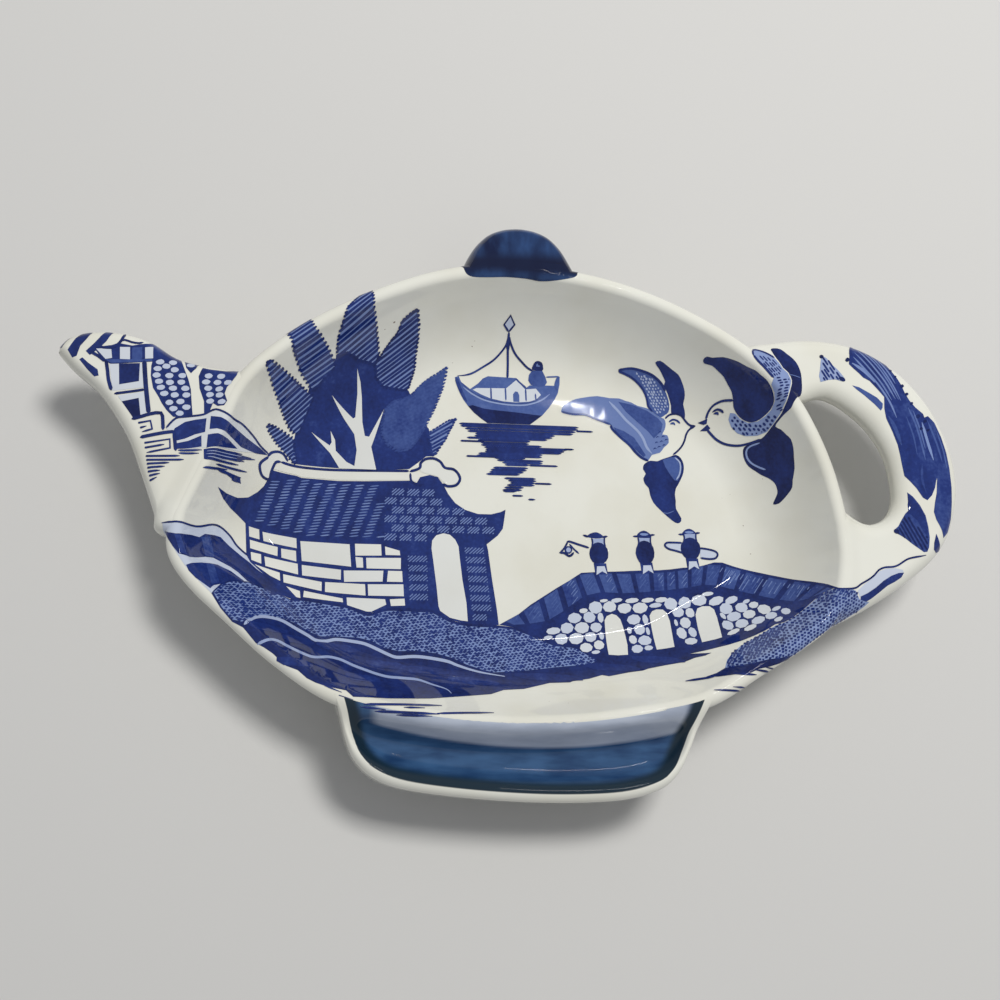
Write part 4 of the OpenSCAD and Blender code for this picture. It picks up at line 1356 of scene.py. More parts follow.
patch("grounds", [
    (20.6, 9), (21.3, 9.35), (22.4, 9.3), (23.1, 9.6), (24.6, 10.15), (25.5, 10.45), (26.3, 9.9),
    (26.7, 8.8), (26.6, 7.6), (26.2, 6.6), (25.6, 5.5), (25.3, 5), (25.1, 4), (25.2, 3),
    (25.2, 1.7), (26, 0.2), (25.7, -0.5), (25, -0.5), (23.8, 0.4), (22.6, 1.5), (21.6, 2.6),
    (21.1, 3.8), (20.9, 4.9), (20.3, 5.6), (20.1, 6.5), (20.5, 7.2), (20.1, 7.9), (20.2, 8.6)
], NAVY - 0.06, 2)
patch("gaps", [
    (23.3, 9.55), (24.6, 10), (25.5, 10.1), (26.1, 9.4), (26.35, 8.6), (26.2, 7.4), (25.6, 6.2),
    (25.1, 6.3), (24.5, 7.1), (23.7, 8.4)
], WASH)
stroke("strokes", [(25.3, 10), (26, 9.3), (26.15, 8.3), (25.9, 7.2), (25.4, 6.4)], 0.22, 0.3)
stroke("gaps", [(24.9, 1.4), (23.8, 0.95), (23, 1.1)], 0.12, 0.55)
count("left dove:")

# %% [markdown]
# The right dove's wings and tail are nearly solid ink, and rows of short dashes fill its back.

# %% Right dove
patch("grounds", [
    (28.4, 24), (28.8, 24.3), (29.6, 24.05), (31, 23.9), (32.3, 23.4), (33.3, 22.9), (34.4, 22.2),
    (35.6, 21.5), (36.4, 20.8), (37.2, 20.1), (37.9, 19.2), (38.5, 18.1), (38.8, 17), (38.6, 16.1),
    (38, 15.4), (37.2, 14.9), (36.2, 14.9), (35.1, 15.6), (34.3, 16.5), (33.8, 17.4), (33.6, 18.3),
    (33.2, 19.4), (32.5, 20.4), (31.7, 21.5), (30.8, 22.3), (29.8, 23.1), (28.7, 23.5)
], NAVY - 0.04, 2)
patch("grounds", [
    (35.1, 24.2), (35.6, 24.7), (36.6, 24.5), (37.8, 24.05), (38.7, 23.6), (39.4, 22.8),
    (39.9, 21.9), (40.7, 21.2), (41.1, 20), (40.8, 18.9), (40.4, 17.8), (40.1, 16.5), (39.8, 15.2),
    (39.2, 14), (38.6, 13.1), (37.5, 12.8), (36, 13), (34.8, 13.6), (33.9, 14.6), (33.4, 15.7),
    (33.5, 16.6), (34.2, 16.4), (35, 15.5), (36.1, 14.8), (37.3, 14.8), (38.1, 15.3), (38.7, 16),
    (38.9, 17), (38.6, 18.2), (38, 19.3), (38.2, 20.3), (37.5, 21), (36.7, 21.9), (35.8, 22.8),
    (35.1, 23.6)
], 0.38)
stroke("strokes", [
    (35.1, 23.6), (35.1, 24.3), (35.6, 24.75), (36.6, 24.55), (37.8, 24.1), (38.7, 23.6)
], 0.32, SOLID)
stroke("strokes", [(35.1, 23.7), (35.8, 22.8), (36.7, 21.9), (37.5, 21), (38.2, 20.2)], 0.34, SOLID)
hatch("strokes", [
    (35.4, 24.2), (37.8, 23.9), (39.3, 22.5), (40, 21), (38.4, 20.3), (36.8, 22)
], -48, 0.42, 0.22, 0.8, 0.1, 0.3, 0.9, 0.2)
hatch("strokes", [
    (38.2, 20.4), (40.9, 20.2), (40, 15), (38.9, 15.6), (38.9, 17.5)
], 12, 0.42, 0.25, 0.86, 0.06, 0.3, 0.6, 0.26)
hatch("strokes", [
    (38.9, 15.8), (39.8, 15), (38.6, 13.1), (36, 13), (34.2, 14.2), (33.5, 16.4), (34.2, 16.3),
    (35.8, 14.9), (37.4, 14.8)
], -52, 0.42, 0.25, 0.86, 0.04, 0.3, 0.6, 0.24)
patch("grounds", [
    (38.3, 25), (38.8, 25.3), (39.8, 25.2), (40.8, 24.4), (41.8, 23.6), (42.5, 22.6), (42.9, 21.3),
    (42.95, 20), (42.9, 18.8), (42.7, 17.8), (41.8, 17.2), (41.2, 16.4), (40.9, 15.6), (40.3, 15),
    (39.8, 14.3), (39.5, 13.6), (40.2, 13), (40.9, 12.1), (41.5, 11.3), (41.9, 10), (42.1, 8.6),
    (42.3, 7), (42.2, 5.4), (42.2, 4.3), (41.8, 3.5), (41.3, 2.8), (40.7, 2.2), (40, 2.2),
    (40.2, 2.9), (40.5, 3.8), (40.4, 4.6), (40.1, 5.4), (39.4, 6.2), (38.4, 6.9), (37.6, 7.6),
    (36.7, 8.4), (36.1, 9.4), (35.8, 10.5), (35.9, 11.4), (36.8, 11.9), (37.7, 12.15), (38.3, 12.5),
    (39.1, 13.7), (39.5, 14.4), (39.95, 15.2), (40.25, 16.5), (40.55, 17.8), (40.95, 18.9),
    (41.25, 20), (40.85, 21.3), (40.05, 22), (39.55, 22.9), (38.9, 23.8)
], NAVY, 2)
stroke("gaps", [(40.9, 21), (41.8, 20.9), (42.8, 20.6)], 0.12, 0.5)
stroke("gaps", [
    (37.9, 11.7), (36.7, 11.4), (36.25, 10.8), (36.4, 9.8), (37, 8.9), (37.9, 8.2), (38.9, 7.6)
], 0.24, 0.38)
stroke("strokes", [
    (33.7, 18.2), (33, 18.35), (32, 18.35), (31, 17.9), (30.4, 17), (30.2, 16)
], 0.34, LINE)
stroke("strokes", [
    (30.5, 14.5), (31.1, 13.8), (32, 12.9), (33.3, 12.15), (35, 11.75), (36.5, 11.85), (38, 12.2)
], 0.36, LINE)
patch("strokes", [(29, 15.6), (29.9, 15.95), (30.4, 16.1), (30.35, 15.4), (29.9, 15.25)], LINE)
patch("strokes", [(29.4, 14.35), (30.1, 14.95), (30.45, 15.3), (30.95, 14.7), (30.6, 14.3)], LINE)
stroke("strokes", [(31, 17), (31.6, 17.3), (32.2, 17.1), (32.6, 16.7)], 0.32, LINE)
stroke("strokes", [(31.2, 16.75), (31.7, 16.8), (31.9, 16.5)], 0.36, SOLID)
count("right dove:")

# %% [markdown]
# The bridge spans the water on three arches. Its wall is cobbled: pale ovals, packed as river
# stones are, in a dark ground.

# %% Bridge and its arches
patch("grounds", [
    (-2.85, -16.95), (-2.6, -16.8), (0.1, -15.3), (2, -13.8), (4, -12.5), (6, -11.2), (8, -10),
    (9.2, -9.2), (9.9, -8.75), (12, -8.6), (16, -8.4), (19, -8.2), (22, -8.1), (24, -7.9),
    (26, -7.6), (28, -7.5), (29.5, -7.1), (31, -6.65), (32.3, -6.65), (34, -7.2), (36, -7.8),
    (38, -8.4), (40, -9.1), (42, -9.9), (44, -10.6), (45.3, -11.2), (46.2, -12.1), (45.2, -12.5),
    (44, -13.4), (43, -14.3), (41.8, -15.3), (40.4, -16.3), (39.3, -16.9), (38, -17.2), (36, -17.5),
    (33, -18.3), (30, -19.1), (27, -19.9), (24, -20.3), (20.7, -20.8), (17, -21.5), (13.4, -21.6),
    (10.5, -21.3), (9, -20.2), (5.5, -19.9), (3.5, -18.9), (1.5, -18), (-0.5, -17.3)
], NAVY - 0.06)
COBBLES = [
    (12, -14.1, 1, 0.85), (14.2, -13.9, 0.95, 0.75), (16.5, -14.1, 1, 0.72), (18.9, -14, 1.1, 0.75),
    (13.3, -13, 0.6, 0.22), (15.3, -12.9, 0.8, 0.3), (17.7, -12.9, 1, 0.35),
    (20.2, -12.8, 0.95, 0.33), (22.3, -12.7, 0.9, 0.36), (21.4, -13.55, 0.9, 0.33),
    (23.8, -13.3, 0.95, 0.85), (26, -13.1, 0.9, 0.85), (28.3, -12.7, 1.1, 0.8),
    (29.7, -11.65, 0.85, 0.3), (30.9, -12.8, 1.1, 0.62), (33.2, -12.7, 0.95, 0.5),
    (35.3, -13, 0.55, 0.27), (24.9, -14.6, 0.85, 0.75), (26.7, -14.7, 0.62, 0.72),
    (25.8, -16.3, 0.72, 0.8), (25, -18, 0.65, 0.85), (26.6, -17.9, 0.55, 0.75),
    (26.1, -19.35, 0.85, 0.5), (24.4, -16.3, 0.25, 0.5), (8.7, -15.75, 1, 0.72),
    (11, -15.6, 0.88, 0.78), (12.75, -15.6, 0.42, 0.7), (7.5, -17.3, 0.92, 0.75),
    (9.8, -17.2, 1, 0.8), (12, -17.1, 0.82, 0.68), (5.4, -17.75, 1, 0.48), (6.6, -19, 0.92, 0.78),
    (8.9, -18.9, 1, 0.8), (11.1, -18.6, 0.83, 0.7), (12.8, -18.4, 0.35, 0.55),
    (4.6, -18.75, 0.65, 0.25), (10.3, -20.3, 0.88, 0.68), (12.3, -19.85, 0.72, 0.68),
    (11.7, -21, 0.6, 0.26), (10.1, -14.6, 0.6, 0.34), (17.9, -15.8, 0.95, 0.72),
    (19.7, -15.8, 0.4, 0.72), (18.75, -17.3, 0.8, 0.8), (17.15, -17.5, 0.32, 0.5),
    (20, -17.6, 0.27, 0.6), (17.6, -18.95, 0.55, 0.65), (19.4, -19.1, 0.95, 0.72),
    (18.05, -20.45, 0.8, 0.6), (19.8, -20.3, 0.6, 0.36), (32.2, -14.1, 0.9, 0.85),
    (34.4, -14, 0.82, 0.75), (36.2, -13.65, 0.65, 0.48), (37.4, -14.5, 0.82, 0.75),
    (39, -14.5, 0.62, 0.28), (40, -15.1, 0.55, 0.5), (31.5, -15.3, 0.3, 0.55),
    (33, -15.5, 0.98, 0.65), (35.2, -15.2, 0.85, 0.6), (38, -15.65, 0.8, 0.5),
    (31.8, -16.9, 0.7, 0.75), (33.8, -16.7, 0.92, 0.62), (36.1, -16.3, 0.95, 0.52),
    (38.7, -16.35, 0.6, 0.28), (32.3, -18.05, 0.95, 0.32), (34.7, -17.5, 0.9, 0.34)
]
SNUG = 1.12  # the cobbles are this much larger than listed, so that they lie close together
for x, y, wide, tall in COBBLES:
    spot("gaps", (x, y), (wide * SNUG, tall * SNUG), 0.14 + random.uniform(-0.04, 0.04),
         0.15 if x < 30 else 0.45, 8, 0.05)
ARCHES = [
    [
        (13.35, -16), (13.7, -15.35), (14.5, -15), (15.2, -15.2), (15.8, -15.8), (16.2, -17),
        (16.5, -18.5), (16.65, -19.8), (16.5, -21.4), (15, -21.5), (13.6, -21.4), (13.45, -18.5)
    ],
    [
        (20.4, -15.2), (20.8, -14.5), (21.5, -14.2), (22.5, -14.2), (23.1, -14.7), (23.5, -16),
        (23.6, -18), (23.6, -20.2), (22.5, -20.4), (20.95, -20.6), (20.7, -18)
    ],
    [
        (27.5, -15), (27.9, -14), (28.7, -13.65), (29.8, -13.65), (30.4, -14.2), (30.6, -15.5),
        (30.6, -17.5), (30.5, -18.9), (29.5, -19.2), (27.6, -19.6), (27.5, -17.5)
    ]
]
for arch in ARCHES:
    patch("gaps", arch, 0.05)
count("bridge:")

# %% [markdown]
# The parapet is a row of washed panels with a few bright scratches, which close up into a fine
# hatch on the right.

# %% Parapet
PANELS, SCRATCHED = 19, (3, 5, 8, 9, 10, 13)
parapet_top = smooth_curve([
    (-2, -16.6), (4, -12.8), (9.9, -9), (16, -8.8), (22, -8.5), (26, -8), (31.5, -7), (38, -8.9),
    (44, -11), (46, -12.3)
], 8)
parapet_foot = smooth_curve([
    (-0.6, -17), (5, -16.6), (11.2, -12.6), (17, -12.3), (22, -11.8), (26, -11.3), (30.5, -10.8),
    (36, -12.3), (41, -14), (44, -13)
], 8)
for k in range(PANELS):
    a, b = (at(parapet_top, (k + side) / PANELS) for side in (0.12, 0.86))
    d, c = (at(parapet_foot, (k + side) / PANELS) for side in (0.12, 0.86))
    panel = [a, b, b.lerp(c, 0.85), a.lerp(d, 0.85)]
    patch("gaps", panel, 0.70 + random.uniform(-0.03, 0.03))
    hatch("strokes", panel, 52, 0.45, 0.11, 0.5 if k in SCRATCHED else 0.6, 0.3, 0.4, 1.6, 0.8)
hatch("strokes", [
    (30.8, -7.3), (32.3, -7.2), (38, -9.1), (43.8, -11.1), (43.4, -13.2), (40, -13.2), (35, -11.6),
    (31, -10.2)
], 55, 0.55, 0.12, 0.48, 0.25, 0.3, 2.6, 0.25)
count("parapet:")

# %% [markdown]
# Three small figures cross the bridge. They are no more than silhouettes a few millimetres high,
# with a round hat and an oval coat each. The first carries a fan on a pole.

# %% Figures on the bridge
for x, y, wide, tall in ((12.7, -5.7, 1.5, 1.75), (20, -5.4, 1.5, 1.95), (27.3, -4.6, 1.6, 1.8)):
    spot("gaps", (x, y), (wide, tall), NAVY, 0.05, 16, 0.02)
    patch("grounds", [(x - 0.95, y + 2.3), (x + 0.95, y + 2.4), (x + 0.85, y + 1.3),
                      (x - 0.85, y + 1.3)], 0.32)
    stroke("strokes", [(x - 1.1, y + 2.5), (x - 0.95, y + 1.7), (x - 1.1, y + 1)], 0.25, LINE)
    stroke("strokes", [(x + 0.95, y + 2.6), (x + 0.9, y + 1.7), (x + 1.1, y + 1)], 0.25, LINE)
    patch("gaps", [(x - 0.85, y - 1.5), (x + 1.1, y - 1.5), (x + 1.35, y - 3.2),
                   (x - 0.6, y - 3.3)], SOLID)
    patch("strokes", [(x - 0.35, y - 2), (x + 0.85, y - 1.95), (x + 1.25, y - 3.2),
                      (x + 0.45, y - 2.75), (x - 0.45, y - 3.35)], PALE)
patch("grounds", [
    (10.9, -3.05), (11.4, -2.6), (12.3, -2.35), (13, -2.6), (13.5, -3.05), (12.9, -3.3),
    (11.6, -3.3)
], SOLID, 2)
stroke("strokes", [(10.25, -2.85), (11.2, -3.15)], 0.34, LINE)
stroke("strokes", [(13.2, -3.15), (14.15, -2.95)], 0.34, LINE)
stroke("strokes", [(11.2, -4.85), (9.5, -4.35), (8.2, -3.95), (7.7, -3.95)], 0.34, LINE)
stroke("strokes", [(7.9, -3.9), (7.3, -5), (6.6, -5.75)], 0.3, LINE)
stroke("strokes", [(8.1, -4.3), (8.8, -5.1), (9.6, -5.8)], 0.26, SOLID)
stroke("strokes", [(6.5, -5.7), (7.3, -5.75), (8.1, -6.2), (8.8, -5.6)], 0.38, LINE)
spot("gaps", (7.95, -5.25), (0.62, 0.62), SOLID)
spot("strokes", (7.95, -5.25), (0.38, 0.38), 0.3)
for x, y in ((19.9, -2.55), (27.15, -2.05)):
    patch("grounds", [(x - 1.2, y - 0.25), (x - 0.75, y + 0.35), (x, y + 0.65),
                      (x + 0.75, y + 0.35), (x + 1.2, y - 0.2), (x + 0.9, y - 0.5),
                      (x - 0.9, y - 0.5)], SOLID, 2)
    spot("gaps", (x, y + 0.05), (0.7, 0.2), 0.4)
    stroke("strokes", [(x - 1.75, y - 0.3), (x - 0.9, y - 0.3)], 0.3, LINE)
    stroke("strokes", [(x + 0.9, y - 0.05), (x + 1.75, y + 0.02)], 0.3, LINE)
patch("grounds", [(23.3, -4.2), (23.7, -3.75), (26, -3.75), (26, -5.2), (23.9, -4.75)], PALE)
patch("grounds", [(28.8, -4.5), (30.5, -4.7), (31.5, -5.3), (31, -6.1), (28.8, -6)], PALE)
stroke("strokes", [
    (26, -3.7), (24.5, -3.68), (23.5, -3.75), (23.2, -4.2), (23.8, -4.7), (25, -5), (26.1, -5.3)
], 0.32, LINE)
stroke("strokes", [
    (28.7, -4.45), (30, -4.6), (31.2, -4.9), (31.6, -5.4), (31.2, -6), (30.1, -6.15), (28.8, -6)
], 0.32, LINE)
count("figures:")

# %% [markdown]
# On the right the same stippled grass rises to a far hill, whose outline wanders on to the handle.

# %% Right hill
right_grass = [
    (46.2, -12.2), (47, -12.4), (48.5, -12.3), (49.4, -12.5), (49.6, -13), (50, -13.7), (51, -14),
    (51.8, -14), (51, -14.7), (50, -15.4), (48.5, -16.3), (47, -17.2), (45.5, -18), (44, -18.8),
    (42.5, -19.8), (41.5, -20.6), (40.5, -21.4), (39.5, -22), (38.9, -22.4), (37, -22.8), (35, -23),
    (33, -23.6), (31, -23.95), (29.3, -24), (30, -22.7), (31, -21.7), (32.2, -20.7), (33.5, -19.9),
    (35, -19.1), (36.6, -18.2), (38, -17.4), (39.3, -16.95), (40.4, -16.35), (41.8, -15.35),
    (43, -14.35), (44, -13.45), (45.2, -12.55)
]
patch("grounds", right_grass, 0.38)
net(right_grass, 0.62, (0.27, 0.19), SOLID, 35)
hatch("strokes", [
    (29.3, -24), (30, -22.7), (31, -21.7), (33.5, -19.9), (36.6, -18.2), (39.3, -17), (38.8, -18.3),
    (37.5, -19.5), (36, -21), (34.5, -22.3), (33, -23.5)
], 52, 0.3, 0.19, 0.76, 0.02, 0.4, 2, 0.2)
hatch("strokes", [
    (43.4, -14.1), (45.2, -12.4), (48.5, -12.3), (49.4, -12.6), (47.5, -14), (44.5, -14.5)
], 60, 0.34, 0.18, 0.72, 0.05, 0.4, 1.2, 0.2)
patch("gaps", [
    (26.5, -25.3), (28, -24.8), (29.3, -24.05), (31, -23.8), (33, -23.5), (35, -23), (37, -22.7),
    (38.9, -22.3), (38.2, -22.9), (36.8, -23.5), (35.2, -24), (33.5, -24.4), (32, -25.1),
    (30, -25.2), (28, -25.4)
], NAVY)
for a, b, w in (
    ((23.6, -25.9), (27.5, -25.4), 0.35), ((32.6, -24.5), (35.5, -24.7), 0.3),
    ((29.5, -27), (31.7, -27), 0.24), ((26.7, -27.5), (30.9, -27.5), 0.28),
    ((34.4, -24.1), (36.6, -24.3), 0.22), ((30, -25.15), (33.2, -25.2), 0.3)
):
    stroke("strokes", [a, b], w, LINE, (1.2, 0.8))
patch("grounds", [
    (49.7, -12.5), (51, -11.4), (52.5, -10.3), (53.5, -9.4), (54.5, -9), (56, -8.9), (57.2, -9.1),
    (57.4, -9.55), (57, -10.2), (55.9, -10.9), (54.7, -11.5), (53.4, -12.5), (52.2, -13.4),
    (51.2, -14), (50.2, -13.8)
], PALE)
patch("gaps", [
    (50.2, -13.3), (51.3, -12.8), (52.7, -11.9), (54, -10.85), (55.3, -10.05), (56.5, -9.6),
    (57.4, -9.5), (57, -10.2), (55.9, -10.9), (54.7, -11.5), (53.4, -12.5), (52.2, -13.4),
    (51.2, -14), (50.2, -13.8)
], SOLID)
stroke("strokes", [
    (45.3, -11.3), (46.3, -12.15), (47, -12.35), (48.5, -12.25), (49.5, -12), (50.4, -11.4),
    (51.5, -10.8), (52.5, -10.1), (53.4, -9.2), (54.4, -8.8), (55.6, -8.7), (56.5, -8.4),
    (57.3, -7.9), (58.2, -7.4), (59.4, -7.1), (60.4, -6.9), (61.2, -6.7)
], 0.28, LINE, (0.3, 1.5))
count("right hill:")

# %% [markdown]
# The tissue was cut to run over the spout and the handle as well. The spout has a pagoda with
# stripes of roof, a row of windows and railings.

# %% Pagoda on the spout
for shape in (
    [(-67.6, 20.6), (-66.9, 22), (-66, 22.6), (-66.6, 21.6), (-67.2, 20.4)],
    [
        (-66.3, 20), (-65.6, 18.9), (-65, 19.1), (-64.6, 20.6), (-63.7, 21.8), (-63.1, 22.9),
        (-64.3, 23), (-65.3, 21.8)
    ],
    [
        (-63.8, 19.9), (-63.2, 19.3), (-62.4, 20), (-61.6, 20.8), (-61, 21.5), (-60.2, 23),
        (-61.2, 23.2), (-62, 22), (-62.7, 21.1)
    ],
    [
        (-64.6, 18.6), (-64.2, 18.9), (-63.3, 18.1), (-62, 17.2), (-61.8, 16.3), (-62.4, 16.2),
        (-63.5, 17.3)
    ],
    [
        (-62.7, 20.5), (-60.2, 20.95), (-59.4, 21.3), (-57.4, 21), (-55.2, 21.5), (-54.2, 22),
        (-52.4, 20.9), (-52, 19), (-54.6, 18.7), (-60.2, 18.1), (-61.4, 18.6)
    ]
):
    patch("grounds", shape, SOLID)
for line, w in (
    ([(-62, 20.6), (-60.4, 20.5), (-59.4, 21.1), (-58.9, 21.8), (-58.5, 22.9)], 0.4),
    ([(-59.3, 21.5), (-58.5, 21.8), (-57.5, 21.5), (-56.5, 21.4), (-55.9, 21.6)], 0.3),
    ([(-63.3, 19.9), (-62, 19.2), (-61, 18.4)], 0.45),
    ([(-60.9, 18.6), (-60.6, 17), (-60.4, 15.7), (-59.9, 14.2)], 0.5),
    ([(-55.6, 18.8), (-55.2, 15), (-54.6, 11)], 0.65),
    ([(-59.5, 13.7), (-57, 14.15), (-55.3, 14.5)], 0.38),
    ([(-56.9, 10.05), (-55.5, 10.5), (-54.4, 10.9), (-52.9, 11.1), (-52.6, 10), (-52.5, 8.6)], 0.5),
    ([(-55.6, 7.4), (-53.7, 7.9), (-51.2, 8.4), (-50.9, 7.8), (-50.6, 5.6)], 0.5)
):
    stroke("strokes", line, w, LINE, curve=2)
for pane, ink in (
    ([(-62.4, 20.3), (-60.3, 20.45), (-60.1, 19), (-61, 18.8)], 0.12),
    ([(-59.1, 20.7), (-57.7, 20.75), (-57.6, 18.9), (-59, 18.9)], 0.12),
    ([(-57.4, 20.7), (-56, 20.8), (-55.9, 19), (-57.3, 18.9)], 0.68),
    ([(-55.6, 20.8), (-54.5, 21), (-54.4, 19.2), (-55.5, 19.1)], 0.12),
    ([(-61.2, 18.75), (-54.5, 19.05), (-54.5, 18.75), (-60.2, 18.25)], 0.66)
):
    patch("gaps", pane, ink)
patch("grounds", [(-60.4, 18.1), (-55.8, 18.4), (-55.4, 14.8), (-59.8, 14.1)], 0.12)
patch("gaps", [(-59.1, 18.2), (-56.2, 18.4), (-56.2, 15.7), (-58.9, 15.1)], SOLID + 0.04)
patch("grounds", [(-59, 13.4), (-55.3, 14.2), (-54.9, 10.8), (-56.6, 10.1)], 0.12)
patch("gaps", [(-58.4, 12.6), (-56.1, 13.2), (-55.7, 10.5), (-56.6, 10.1)], NAVY)
for line in (
    [(-56, 9.5), (-54.3, 9.9), (-54, 8.7), (-55.4, 8.2)], [(-55.7, 8.8), (-54.8, 9.1)],
    [(-55, 6.6), (-51.5, 7.3), (-51.4, 6), (-54.6, 5.2)], [(-54.9, 5.9), (-52.2, 6.5)],
    [(-54.7, 4.7), (-50, 4.9)], [(-54.6, 4.15), (-49.4, 4.35)], [(-54.5, 3.6), (-51.4, 3.85)],
    [(-54.4, 3.05), (-52, 3.3)], [(-54.3, 2.5), (-52.6, 2.7)], [(-54.1, 1.9), (-52.6, 2.25)],
    [(-54, 1.2), (-53, 1.7)]
):
    stroke("strokes", line, 0.3, SOLID, (0.1, 0.6), 1)
count("pagoda:")

# %% [markdown]
# Beside the pagoda stand two dark panels of pale berries, with a bare white trunk between them.

# %% Berries on the spout
PANEL_1 = [
    (-54.4, 19.1), (-53.3, 19.6), (-52.3, 20.4), (-51.3, 20), (-50.6, 19.5), (-49.9, 17.7),
    (-49.3, 16.2), (-48.9, 14.8), (-48.7, 12.7), (-48.5, 11), (-50, 10.6), (-51.2, 10.6),
    (-52.2, 11.6), (-52.9, 12.6), (-53.3, 13.4), (-54.2, 14.8), (-54.6, 16.6), (-54.6, 18.1)
]
PANEL_2 = [
    (-47.4, 18.2), (-46.4, 18), (-44, 17.8), (-42.3, 18), (-42.5, 17), (-43.1, 16.1), (-43.8, 15.2),
    (-44.1, 14.2), (-43.7, 13.1), (-44.1, 12.4), (-45, 12.3), (-45.7, 12.8), (-46.2, 11.3),
    (-46.9, 11.3), (-47, 13.1), (-47.7, 15), (-47.9, 16.8)
]
for panel in (PANEL_1, PANEL_2, [
    (-50.1, 19.5), (-48, 19.1), (-48.3, 18), (-49, 17.2), (-49.7, 18)
]):
    patch("grounds", panel, SOLID)
for x, y in (
    (-53.4, 18.7), (-51.6, 18.7), (-52.5, 18.1), (-53.7, 17.7), (-51.3, 17.6), (-53.8, 16.7),
    (-52, 16.7), (-50.2, 16.8), (-53.4, 15.8), (-51.9, 15.7), (-50.3, 15.8), (-53.1, 14.9),
    (-51.4, 14.85), (-49.7, 14.9), (-52.6, 14), (-51.1, 13.85), (-49.5, 13.9), (-51.8, 12.7),
    (-50.3, 12.9), (-51.2, 11.8), (-49.4, 12.1), (-50.3, 11.15), (-46.5, 16.9), (-44.7, 16.9),
    (-46.8, 16), (-45.2, 15.95), (-43.7, 15.9), (-46.5, 15.05), (-44.9, 14.95), (-46.2, 14.1),
    (-44.8, 14), (-46.1, 13.1), (-44.5, 12.95), (-49.1, 18.5)
):
    spot("gaps", (x, y), (0.58, 0.4), 0.2, 0.1, 10, 0.08)
count("berries:")

# %% [markdown]
# The spout runs down to a small hill. Its pale top is filled with dark leaves, and level strokes
# below it stand for a furrowed field. Between the leaves a narrow pale stripe is left open along
# the rim's crest: a painted highlight.

# %% Hill at the foot of the spout
patch("grounds", [
    (-52.1, 8.9), (-50.8, 10.2), (-49.2, 10.6), (-46.9, 11), (-45.2, 11.7), (-42.9, 10.7),
    (-41.5, 10.4), (-40, 9.4), (-39, 8.4), (-37.9, 7.6), (-40, 7.3), (-42.1, 6.8), (-44, 6.5),
    (-46.3, 6), (-49.2, 5.9), (-50.4, 6.3), (-51, 7.8)
], 0.1)
stroke("strokes", [
    (-52.1, 8.9), (-50.8, 10.4), (-49.2, 10.7), (-46.9, 11.1), (-45.2, 11.8), (-42.9, 10.8),
    (-41.5, 10.5), (-40, 9.5), (-39, 8.5), (-37.8, 7.7)
], 0.3, LINE)
# The leaves leave a narrow pale stripe open along the rim's crest: a painted highlight.
for fill in (
    [
        (-51.2, 8.2), (-50.9, 8.9), (-49.5, 9.9), (-48, 10.3), (-46.5, 10.5), (-46.6, 8.4),
        (-48, 8.1), (-49.5, 7.4), (-50.9, 7)
    ],
    [
        (-45.9, 10.8), (-44.5, 10.6), (-43, 9.9), (-41, 9), (-39, 8.2), (-37.9, 7.5), (-39.6, 7.3),
        (-41.7, 7.5), (-42.7, 8.1), (-43.8, 8.7), (-45, 8.9), (-46, 8.8)
    ],
    [(-50.6, 6.7), (-49, 7.1), (-47.1, 7.9), (-47, 6.2), (-48.8, 6), (-50.5, 5.9)],
    [(-46.2, 8), (-44.8, 8.2), (-43.5, 7.9), (-42.2, 7.1), (-44, 6.6), (-46.3, 6)],
    [(-46.7, 5.8), (-44, 6.3), (-40.2, 6.5), (-41.6, 5.7), (-44, 5.1), (-46.6, 4.4)],
    [(-44.9, 3.8), (-43, 3.6), (-41.7, 3.3), (-41.6, 2.6), (-42.8, 2.9)]
):
    patch("gaps", fill, SOLID)
for a, b in (
    ((-50.3, 5.7), (-46.9, 5.7)), ((-50.2, 5.3), (-47.3, 5.2)), ((-46.1, 5.7), (-41.5, 6.6)),
    ((-46.4, 5.3), (-39.7, 6.4)), ((-46.5, 4.9), (-41.2, 5.7)), ((-46.6, 4.4), (-42, 5)),
    ((-45, 4.1), (-40.8, 4.4)), ((-44.7, 3.4), (-41.6, 3.4)), ((-42.9, 2.8), (-41.6, 2.7)),
    ((-46.7, 3.1), (-43.5, 3.9))
):
    stroke("strokes", [a, b], 0.3, SOLID, (0.4, 1))
for a, b in (
    ((-46.2, 5.5), (-41.6, 6.28)), ((-46.3, 5.1), (-42.2, 5.78)), ((-46.1, 4.72), (-43.6, 5.1))
):
    stroke("strokes", [a, b], 0.13, 0.3, (0.8, 1.2))
count("spout hill:")

# %% [markdown]
# The foliage on the handle is a broad wash with long lighter strokes along it. Between its leaves
# a bare white branch forks like a Y.

# %% Foliage on the handle
foliage = [
    (51, 24.9), (51.3, 25.8), (52, 26.5), (54, 25.8), (56, 24.9), (57.3, 23.6), (57.9, 22.4),
    (58.6, 21.3), (59.2, 20.1), (59.6, 19), (60.3, 17.7), (61.2, 16.6), (62.4, 15.6), (63, 13.6),
    (63.5, 11.5), (64.2, 9), (64.6, 7.3), (64.2, 6), (63.7, 5), (63.4, 3.8), (62.8, 2.6), (62, 1.8),
    (61.3, 2.2), (60.4, 3.6), (59.2, 5), (58.7, 5.6), (58.5, 7), (58.2, 9), (57.9, 10.5),
    (57.2, 12.5), (56.3, 14.6), (56.2, 15.3), (56.1, 16.2), (56.2, 18.1), (55.2, 19.3), (54, 20.6),
    (53, 21.1), (52.3, 21.8), (51.4, 22.6), (50.8, 23.2)
]
patch("grounds", foliage, 0.80)
